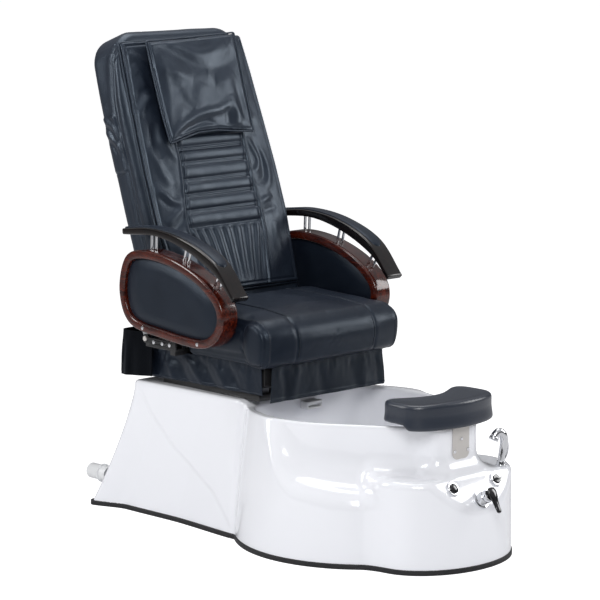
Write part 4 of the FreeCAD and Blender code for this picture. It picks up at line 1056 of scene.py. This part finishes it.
def build_back_cover():
    cover = field_mesh("back_cover", back_cover_distance, (-276, -80, 16), (276, 856, 184),
                       (12.0, 6.5))
    refine(cover)
    p = read_points(cover)
    n = read_normals(cover)
    x, u, v = p.T
    side = smooth(0.45, 0.8, np.abs(n[:, 0]))
    height = np.zeros(len(p))
    outside = ((np.abs(x) > 251) | (v < 40) | (v > 160) | (u > 800)).astype(float)
    for shift in (-5.0, 5.0):
        d, _ = line_distance(u, v, [(a, b + shift) for a, b in SIDE_SEAM])
        height += -1.6 * ridge(d, 2.2) * side
    d, _ = line_distance(u, v, SIDE_SEAM)
    height += 1.2 * ridge(d, 3.0) * side
    height += 2.2 * ridge(d - 20, 12.0) * side
    near = side * (x < 0)
    inside = polygon_distance(u, v, POCKET)
    height += near * (2.4 * smooth(2.0, -3.0, inside) - 1.2 * ridge(inside, 2.5))
    height += near * all_folds(u, v, POCKET_FOLDS)
    height += side * 0.9 * value_noise(p * [1.0, 0.35, 1.0], 50.0, 61)
    height += 1.2 * value_noise(p * [1.0, 0.6, 1.0], 75.0, 62)
    height += 0.2 * value_noise(p, 17.0, 63) * side
    rear = smooth(0.5, 0.9, n[:, 2])
    for off_seam in (u - 250.0, u - 560.0, x + 150.0, x - 150.0):
        height += -2.0 * ridge(off_seam, 3.0) * rear
    top = smooth(0.4, 0.8, n[:, 1])
    height += -2.0 * ridge(x + 122.0, 2.5) * top * smooth(20, 60, v)
    emboss(cover, p, n, height * outside)
    paths = [[(side_x, a, b + shift) for a, b in spline(SIDE_SEAM, 220)]
             for side_x in (-COVER_SIDE_X, COVER_SIDE_X) for shift in (-7.5, 7.5)]
    paths.append([(-COVER_SIDE_X, a, b) for a, b in spline(POCKET[:3], 90)])
    thread = stitches("back_stitching", [in_back(surface_line(cover, path)) for path in paths])
    into_back_place(cover)
    finish_piece(cover, LEATHER, "back", ("back_cushion", "back_shell"))
    finish_piece(thread, THREAD, "back")


FLAP_HALF = [(2, 246), (120, 258), (234, 268), (374, 268), (518, 262), (684, 254), (798, 245)]
FLAP_CORNERS = [(w + 3.0, u) for u, w in FLAP_HALF] + [(3.0 - w, u) for u, w in reversed(FLAP_HALF)]
FLAP_SEAMS = [(452, 2), (405, 2), (352, 2), (305, 2), (256, 2), (206, 1)]
QUILT_LEFT = [(480, -122), (416, -122), (351, -130), (252, -148), (199, -150), (100, -128), (10, -112)]
QUILT_RIGHT = [(480, 141), (396, 140), (338, 138), (261, 143), (171, 140), (90, 124), (10, 112)]
FLAP_FOLDS = [
    ([(-240, 560), (-198, 609), (-150, 618)], 4.5, 11.0),
    ([(-243, 590), (-215, 632), (-180, 646)], -3.5, 10.0),
    ([(-222, 765), (-190, 735), (-155, 712)], 5.0, 12.0),
    ([(-222, 725), (-200, 690), (-190, 650)], 4.0, 12.0),
    ([(-210, 700), (-175, 660), (-165, 600)], -4.0, 12.0),
    ([(-247, 350), (-213, 312), (-190, 290), (-150, 292)], 5.0, 12.0),
    ([(-236, 318), (-205, 285), (-170, 270)], -4.0, 10.0),
    ([(-230, 225), (-190, 250), (-145, 282)], 4.5, 10.0),
    ([(-235, 195), (-190, 215), (-150, 245)], -3.5, 10.0),
    ([(-238, 460), (-214, 421), (-205, 385), (-180, 340)], 4.0, 14.0),
    ([(-164, 560), (-176, 498), (-152, 439), (-128, 420)], 5.0, 13.0),
    ([(-190, 540), (-205, 480), (-190, 430)], -4.0, 13.0),
    ([(-215, 170), (-190, 120), (-180, 60)], 4.5, 14.0),
    ([(-150, 160), (-150, 100), (-165, 30)], -3.5, 12.0),
    ([(160, 468), (184, 413), (182, 377), (146, 350)], 5.5, 10.0),
    ([(180, 470), (205, 400), (200, 345), (158, 318)], -5.0, 11.0),
    ([(205, 440), (222, 380), (212, 320), (175, 290)], 4.0, 11.0),
    ([(150, 258), (181, 270), (215, 280)], 4.5, 9.0),
    ([(150, 228), (185, 236), (222, 240)], -3.5, 9.0),
    ([(195, 200), (190, 130), (200, 60)], 4.0, 14.0),
    ([(205, 640), (190, 580), (200, 520)], 4.0, 12.0),
]


def flap_section(x, u):
    """Where the flap's middle is on the v axis, and how thick it is there."""
    edge = np.clip(np.abs(x) / table_at(FLAP_HALF, u), 0, 1.1) ** 4
    thick = 21.0 - 11.0 * edge
    return 15.0 * edge + thick / 2, thick


def flap_distance(x, u, v):
    outline = polygon_distance(x, u, FLAP_CORNERS)
    middle, thick = flap_section(x, u)
    return rmax(np.abs(v - middle) * 0.93 - thick / 2, outline + 1.0, 4.0)


def quilting(x, u):
    """Relief of the sewn panel in the middle of the flap, and the pleats below it."""
    left, right = table_at(QUILT_LEFT, u), table_at(QUILT_RIGHT, u)
    inside = smooth(-3.0, 4.0, np.minimum(x - left, right - x)) * smooth(492, 482, u)
    height = np.zeros(x.shape)
    rows = [u0 for u0, _ in FLAP_SEAMS]
    panel = inside * smooth(rows[-1] - 4, rows[-1] + 2, u)
    for upper, lower in zip([498.0] + rows[:-1], rows):
        t = np.clip((u - lower - 6.0) / (upper - lower - 12.0), 0, 1)
        crown = 5.5 * np.sqrt(np.clip(np.sin(math.pi * t), 0, 1))
        height += panel * crown * ((u > lower) & (u <= upper))
    for row, count in FLAP_SEAMS:
        tilt = row + 0.012 * x
        for shift in ((-6.0, 6.0) if count == 2 else (0.0,)):
            height += -3.2 * ridge(u - tilt - shift, 2.3) * inside
    border = smooth(496, 486, u)
    for edge in (left, right):
        out = np.abs(x - edge)
        height += border * (-4.2 * ridge(out, 2.8) + 2.2 * ridge(out - 8.0, 4.0))
    pleat = smooth(204, 188, u) * smooth(8, 60, u) * inside
    s = (x - left) / (right - left)
    turns = 8.2 * s + 0.35 * np.sin(5 * s) + 0.0011 * (200 - u) * (s - 0.5) * 8
    wave = np.sin(2 * math.pi * turns)
    strength = 0.35 + 0.65 * smooth(20, 175, u)
    height += pleat * strength * 4.4 * (wave - 0.35 * wave ** 3)
    return height


def build_flap():
    flap = field_mesh("back_flap_pad", flap_distance, (-282, -10, -12), (282, 812, 46), (12.0, 6.0))
    p, n = puff_and_refine(flap, 1.6)
    x, u, _ = p.T
    front = smooth(0.2, 0.6, -n[:, 2])
    height = quilting(x, u) + all_folds(x, u, FLAP_FOLDS, 0.95, 1.15)
    edge = -polygon_distance(x, u, FLAP_CORNERS)
    height += -2.6 * ridge(edge - 14.0, 2.6) + 1.4 * ridge(edge - 7.0, 4.0)
    aside = smooth(120.0, 170.0, np.abs(x))
    height += 1.3 * aside * value_noise(p * [1.0, 0.5, 1.0], 42.0, 71)
    height += 0.35 * value_noise(p * [1.0, 0.5, 1.0], 16.0, 72) * aside
    height += 0.35 * value_noise(p, 22.0, 73)
    emboss(flap, p, n, height * front)
    into_back_place(flap)
    finish_piece(flap, LEATHER, "back", ("back_flap",))
    loop = rounded_loop(FLAP_CORNERS, 9.0)
    add_piping("back_flap_piping", loop, flap_section(*loop.T)[0], 3.1)


def add_piping(name, loop, depth, radius):
    """A leather cord round the edge of a pad on the back."""
    path = in_back(np.column_stack([loop, depth]))
    finish_piece(tube(name, path, radius, closed=True), LEATHER, "back")


PILLOW_CORNERS = [(-178, 785), (-60, 789), (60, 793), (183, 798), (178, 700), (172, 560), (170, 479),
                  (95, 486), (25, 493), (-55, 491), (-135, 473), (-175, 464), (-181, 560), (-181, 680)]
PILLOW_EDGE_V = -31.0
PILLOW_EDGE_THICKNESS = 8.0
PILLOW_FOLDS = [
    ([(-150, 778), (-100, 745), (-60, 722), (-21, 700), (30, 680)], -6.0, 20.0),
    ([(30, 680), (80, 690), (130, 708), (165, 730)], -5.5, 20.0),
    ([(-120, 790), (-60, 760), (0, 735), (60, 740), (130, 765)], 5.0, 16.0),
    ([(-160, 700), (-100, 680), (-40, 655)], 4.5, 16.0),
    ([(50, 650), (90, 640), (140, 660)], 4.0, 18.0),
    ([(-172, 468), (-130, 505), (-97, 524), (-39, 545), (50, 557), (100, 580)], 6.5, 11.0),
    ([(-165, 462), (-118, 493), (-79, 508), (-18, 522), (22, 500)], -5.5, 9.0),
    ([(-140, 470), (-79, 490), (-10, 500), (40, 484)], 4.5, 8.0),
    ([(101, 600), (112, 540), (100, 484)], 5.0, 13.0),
    ([(70, 560), (72, 520), (62, 486)], -4.5, 12.0),
    ([(-143, 744), (-141, 673), (-145, 600), (-165, 520)], 3.5, 14.0),
    ([(-100, 640), (-95, 590), (-60, 560)], -3.5, 16.0),
    ([(125, 660), (138, 590), (140, 510)], -3.5, 12.0),
    ([(0, 640), (-30, 600), (-20, 570)], 3.0, 16.0),
]


def pillow_distance(x, u, v):
    outline = polygon_distance(x, u, PILLOW_CORNERS)
    thick = PILLOW_EDGE_THICKNESS + 25.0 * smooth(4.0, 95.0, -outline)
    middle = PILLOW_EDGE_V + (thick - PILLOW_EDGE_THICKNESS) * 0.22
    return rmax(np.abs(v - middle) * 0.96 - thick / 2, outline + 1.0, 3.5)


def build_pillow():
    pillow = field_mesh("head_cushion", pillow_distance, (-196, 450, -60), (198, 812, 4),
                        (10.0, 5.5))
    p, n = puff_and_refine(pillow, 1.6)
    x, u, _ = p.T
    front = smooth(0.1, 0.5, -n[:, 2])
    edge = -polygon_distance(x, u, PILLOW_CORNERS)
    height = -1.8 * ridge(edge - 9.0, 2.2)
    keep = smooth(6.0, 26.0, edge)
    height += keep * all_folds(x, u, PILLOW_FOLDS, 0.85, 1.25)
    height += keep * value_noise(p * [1.0, 0.8, 0.4], 46.0, 81)
    height += keep * 0.2 * value_noise(p * [1.0, 0.8, 0.4], 15.0, 82)
    emboss(pillow, p, n, height * front)
    into_back_place(pillow)
    finish_piece(pillow, LEATHER, "back", ("head_pillow",))
    loop = rounded_loop(PILLOW_CORNERS, 7.0)
    add_piping("head_cushion_piping", loop, np.full(len(loop), PILLOW_EDGE_V), 2.8)


def rounded_loop(corners, radius):
    """A closed path along a polygon with its corners rounded off."""
    spacing = 6.0
    out = []
    count = len(corners)
    for i in range(count):
        a, b, c = (np.array(corners[(i + j) % count], float) for j in (-1, 0, 1))
        reach_a = min(radius, 0.45 * np.linalg.norm(a - b))
        reach_c = min(radius, 0.45 * np.linalg.norm(c - b))
        start = b + (a - b) / np.linalg.norm(a - b) * reach_a
        end = b + (c - b) / np.linalg.norm(c - b) * reach_c
        for t in np.linspace(0, 1, 7):
            out.append((1 - t) ** 2 * start + 2 * t * (1 - t) * b + t * t * end)
        stop = c + (b - c) / np.linalg.norm(c - b) * reach_c
        steps = int(np.linalg.norm(stop - end) / spacing)
        for k in range(1, steps):
            out.append(end + (stop - end) * k / steps)
    return np.array(out)


# ---- footrest ----------------------------------------------------------------------------------
PAD_HALF = [(0, -614), (60, -608), (110, -594), (150, -570), (170, -538), (172, -490), (167, -450),
            (148, -428), (118, -427), (80, -446), (40, -464), (0, -470)]


FOOTREST_TOP_Z = 470.5
FOOTREST_BOTTOM_Z = 397.0
PLATE_TOP_Z = 401.5     # the pad's underside where it stands over the plate
FOOTREST_LOOP = spline(PAD_HALF + [(-x, y) for x, y in reversed(PAD_HALF[1:-1])], 96, closed=True)


def footrest_distance(x, y, z):
    outline = polygon_distance(x, y, FOOTREST_LOOP)
    top = FOOTREST_TOP_Z - 3.0 * smooth(0.0, 45.0, -outline) + 3.0 * smooth(-560.0, -600.0, y)
    bottom = FOOTREST_BOTTOM_Z + 14.0 * smooth(-545.0, -520.0, y)
    flare = 4.0 * smooth(440.0, 400.0, z)
    body = rmax(outline + 3.5 - flare, z - top, 13.0)
    return rmax(body, bottom - z, 6.0)


def build_footrest():
    pad = field_mesh("footrest_cushion", footrest_distance, (-184, -628, 388), (184, -416, 482),
                     (6.0, 3.5))
    hollow_underside(pad)
    finish_piece(pad, FOAM, "footrest", ("footrest_pad",))


def hollow_underside(obj):
    """Keeps the pad's underside clear of the plate that carries it."""
    p = read_points(obj)
    x, y, z = p.T
    over = (np.abs(x) < 96) & (y > -594) & (y < -484) & (z < 408)
    z = np.where(over, PLATE_TOP_Z, z)
    write_points(obj, np.column_stack([x, y, z]))


# ---- fittings ----------------------------------------------------------------------------------
def build_hand_shower():
    x, y = SHOWER_X, SHOWER_Y
    handle = [(x, y, 250), (x + 1, y, 272), (x + 4, y, 292), (x + 9, y - 1, 315),
              (x + 10, y - 2, 336), (x + 4, y - 1, 353), (x - 8, y + 2, 360),
              (x - 19, y + 5, 353), (x - 24, y + 6, 344)]
    radii = [9.6, 9.8, 10.5, 11.5, 12.0, 12.5, 12.5, 12.0, 11.5]
    path = spline(handle, 80)
    size = np.interp(np.linspace(0, 1, 80), np.linspace(0, 1, len(radii)), radii)
    grip = tube("grip", path, size, sides=28)
    head_rings = []
    axis = path[-1] - path[-3]
    axis /= np.linalg.norm(axis)
    side_axis = np.cross(axis, [0.0, 1.0, 0.0])
    side_axis /= np.linalg.norm(side_axis)
    other_axis = np.cross(axis, side_axis)
    for along, size in ((-6, 11.0), (-4, 13.5), (1, 14.5), (4, 14.5), (5.5, 13.5), (5.5, 11.5),
                        (4.5, 10.5), (4.2, 3)):
        centre = path[-1] + axis * along
        head_rings.append([centre + size * (side_axis * math.cos(a) + other_axis * math.sin(a))
                           for a in np.linspace(0, 2 * math.pi, 32, endpoint=False)])
    head = stacked("head", head_rings)
    hoop_path = spline([(x + 9, y + 1, 272), (x + 19, y - 4, 290), (x + 23, y - 6, 312),
                        (x + 20, y - 5, 334), (x + 12, y - 3, 348)], 40)
    hoop = tube("hoop", hoop_path, 2.6, sides=12)
    shower = join("hand_shower", [grip, head, hoop])
    finish_piece(shower, CHROME, "handshower", ("handshower",))


MIXER_LEVEL = 195.0
LEVER_PROFILE = [    # distance down the console, height above it, half width, half height
    (-17, 53.6, 4.0, 1.5), (-15, 53.6, 12.0, 3.7), (-9, 54.2, 15.0, 5.4), (0, 54.0, 15.5, 6.4),
    (12, 53.2, 14.2, 6.4), (24, 52.0, 11.5, 5.4), (38, 51.3, 9.6, 4.6), (50, 51.3, 9.0, 4.4),
    (56, 51.3, 8.0, 3.8), (59, 51.3, 4.5, 2.0)]


def build_mixer_lever():
    angles = 2 * math.pi * np.arange(24) / 24
    rings = np.array([[on_console(half_width * math.cos(a), MIXER_LEVEL,
                                  height + half_height * math.sin(a), down) for a in angles]
                      for down, height, half_width, half_height in LEVER_PROFILE])
    dense = np.array([spline(rings[:, k], 46) for k in range(len(angles))])
    lever = stacked("mixer_handle", np.swapaxes(dense, 0, 1))
    finish_piece(lever, BLACK_GLOSS, "mixer_lever", ("mixer_lever",))


NODE_FINISHES = [
    (CHROME, "drain_body drain_plug jet_nozzles bracket_screws knob_bezels mixer_base mixer_cap "
             "shower_holder bracket_bolts arm_posts_left arm_posts_right arm_hinge_left "
             "arm_hinge_right"),
    (STAINLESS, "footrest_bracket footrest_post shower_hose slide_actuator_rod "
                "recline_actuator_rod pivot_pins"),
    (ZINC, "base_frame footrest_guide slide_rails slide_actuator_tube recline_actuator_tube"),
    (BLACK_STEEL, "seat_mount_frame slide_carriages seat_frame arm_brackets back_frame "
                  "massage_carriage"),
    (PVC, "drain_pipe waterfall_spout"),
    (BLACK_GLOSS, "air_button drain_knob"),
    (BLACK_PLASTIC, "pump_housing pump_impeller control_box"),
    (ROLLER, "massage_rollers"),
]
EDGE_RADII = [
    (0.5, "arm_hinge_left arm_hinge_right"),
    (0.7, "bracket_screws"),
    (0.8, "drain_body drain_plug"),
    (1.0, "drain_pipe slide_carriages"),
    (1.2, "shower_holder jet_nozzles bracket_bolts"),
    (1.4, "air_button drain_knob"),
    (1.5, "seat_mount_frame arm_brackets seat_frame"),
    (1.8, "knob_bezels"),
    (2.0, "mixer_base waterfall_spout"),
    (2.2, "mixer_cap"),
    (3.0, "pump_housing control_box"),
]


def dress_cad_nodes():
    """Finishes and softened edges for the nodes that stay as the CAD made them."""
    radii = {name: radius for radius, names in EDGE_RADII for name in names.split()}
    for material, names in NODE_FINISHES:
        for name in names.split():
            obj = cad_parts[name]
            obj.data.materials.clear()
            obj.data.materials.append(material)
            if name in radii:
                add_modifier(obj, "WELD", merge_threshold=0.00002)
                add_modifier(obj, "BEVEL", width=radii[name] * MM, segments=3,
                             limit_method="ANGLE", angle_limit=math.radians(38))
            smooth_by_angle(obj)


def smooth_by_angle(obj):
    bpy.context.view_layer.objects.active = obj
    for other in bpy.context.selected_objects:
        other.select_set(False)
    obj.select_set(True)
    bpy.ops.object.shade_smooth_by_angle(angle=math.radians(35))


# ---- studio ------------------------------------------------------------------------------------
CAMERA_AT = Vector((-5.286, -5.508, 1.931))
CAMERA_AZIMUTH = math.radians(-43.445)
CAMERA_ELEVATION = math.radians(9.268)
CAMERA_LENS = 156.81
SKY = (0.07, 0.62)     # mirrored sky from low to high
SKY_GLOW = 0.27        # what the sky adds to scattered light
FLOOR_GLOW = (0.86, 0.10, 0.38)     # seen, mirrored, scattered
LIGHTS = [    # name, place, aim, size in metres, watts
    ("key", (-2.8, -3.0, 3.0), (0, 0, 0.6), (1.2, 1.9), 88),
    ("fill", (3.2, -2.2, 2.2), (0, -0.1, 0.5), (1.5, 2.0), 58),
    ("rim", (-3.0, 2.2, 2.4), (0, 0.2, 0.8), (0.9, 2.2), 58),
    ("top", (0.4, 0.4, 3.6), (0, 0, 0.5), (2.0, 2.0), 44),
]


def build_camera():
    camera = bpy.data.cameras.new("photo_view")
    camera.lens = CAMERA_LENS
    camera.sensor_width = 36.0
    camera.clip_end = 60.0
    obj = bpy.data.objects.new("photo_view", camera)
    obj.location = CAMERA_AT
    back = Vector((math.sin(CAMERA_AZIMUTH) * math.cos(CAMERA_ELEVATION),
                   -math.cos(CAMERA_AZIMUTH) * math.cos(CAMERA_ELEVATION),
                   math.sin(CAMERA_ELEVATION)))
    obj.rotation_euler = (-back).to_track_quat("-Z", "Y").to_euler()
    bpy.context.scene.collection.objects.link(obj)
    bpy.context.scene.camera = obj


def area_light(name, at, toward, size, power):
    light = bpy.data.lights.new(name, "AREA")
    light.shape = "RECTANGLE"
    light.size, light.size_y = size
    light.energy = power
    obj = bpy.data.objects.new(name, light)
    obj.location = at
    obj.rotation_euler = (Vector(toward) - Vector(at)).to_track_quat("-Z", "Y").to_euler()
    bpy.context.scene.collection.objects.link(obj)


def by_ray(tree, seen, mirrored, diffuse):
    """A strength that differs for the camera, for mirrored rays and for scattered light."""
    value = diffuse
    for output, strength in (("Is Glossy Ray", mirrored), ("Is Camera Ray", seen)):
        ray = add_node(tree, "LightPath", output, {})
        value = add_node(tree, "Mix", "Result", {"Factor": ray, "A": value, "B": strength})
    return value


def build_studio():
    world = bpy.data.worlds.new("studio")
    scene = bpy.context.scene
    scene.world = world
    scene.view_settings.view_transform = "Standard"
    world.use_nodes = True
    tree = world.node_tree
    background = tree.nodes["Background"]
    coords = add_node(tree, "TexCoord", "Generated", {})
    level = add_node(tree, "SeparateXYZ", "Z", {"Vector": coords})
    sky = spread(tree, level, *SKY, 0.12, 0.85)
    background.inputs["Color"].default_value = (0.965, 0.97, 1.0, 1)
    tree.links.new(by_ray(tree, 1.0, sky, SKY_GLOW), background.inputs["Strength"])
    for light in LIGHTS:
        area_light(*light)
    reach = 50.0
    floor_mesh = bpy.data.meshes.new("floor")
    floor_mesh.from_pydata([(-reach, -reach, 0), (reach, -reach, 0), (reach, reach, 0),
                            (-reach, reach, 0)], [], [(0, 1, 2, 3)])
    floor = bpy.data.objects.new("floor", floor_mesh)
    scene.collection.objects.link(floor)
    finish = plain_material("studio_floor", (0.55, 0.55, 0.56), 0.7, mottling=0.004, relief=0)
    glow = finish.node_tree.nodes["Principled BSDF"]
    glow.inputs["Emission Color"].default_value = (1, 1, 1, 1)
    strength = by_ray(finish.node_tree, *FLOOR_GLOW)
    finish.node_tree.links.new(strength, glow.inputs["Emission Strength"])
    floor_mesh.materials.append(finish)


# ---- the chair ---------------------------------------------------------------------------------
build_tub()
build_trim()
seat = build_seat_cushion()
build_seat_stitches(seat)
build_skirts()
build_rear_drape()
for arm_side, arm_word in ((1, "left"), (-1, "right")):
    build_arm(arm_side, arm_word)
build_back_cover()
build_flap()
build_pillow()
build_footrest()
build_hand_shower()
build_mixer_lever()
dress_cad_nodes()
build_camera()
build_studio()
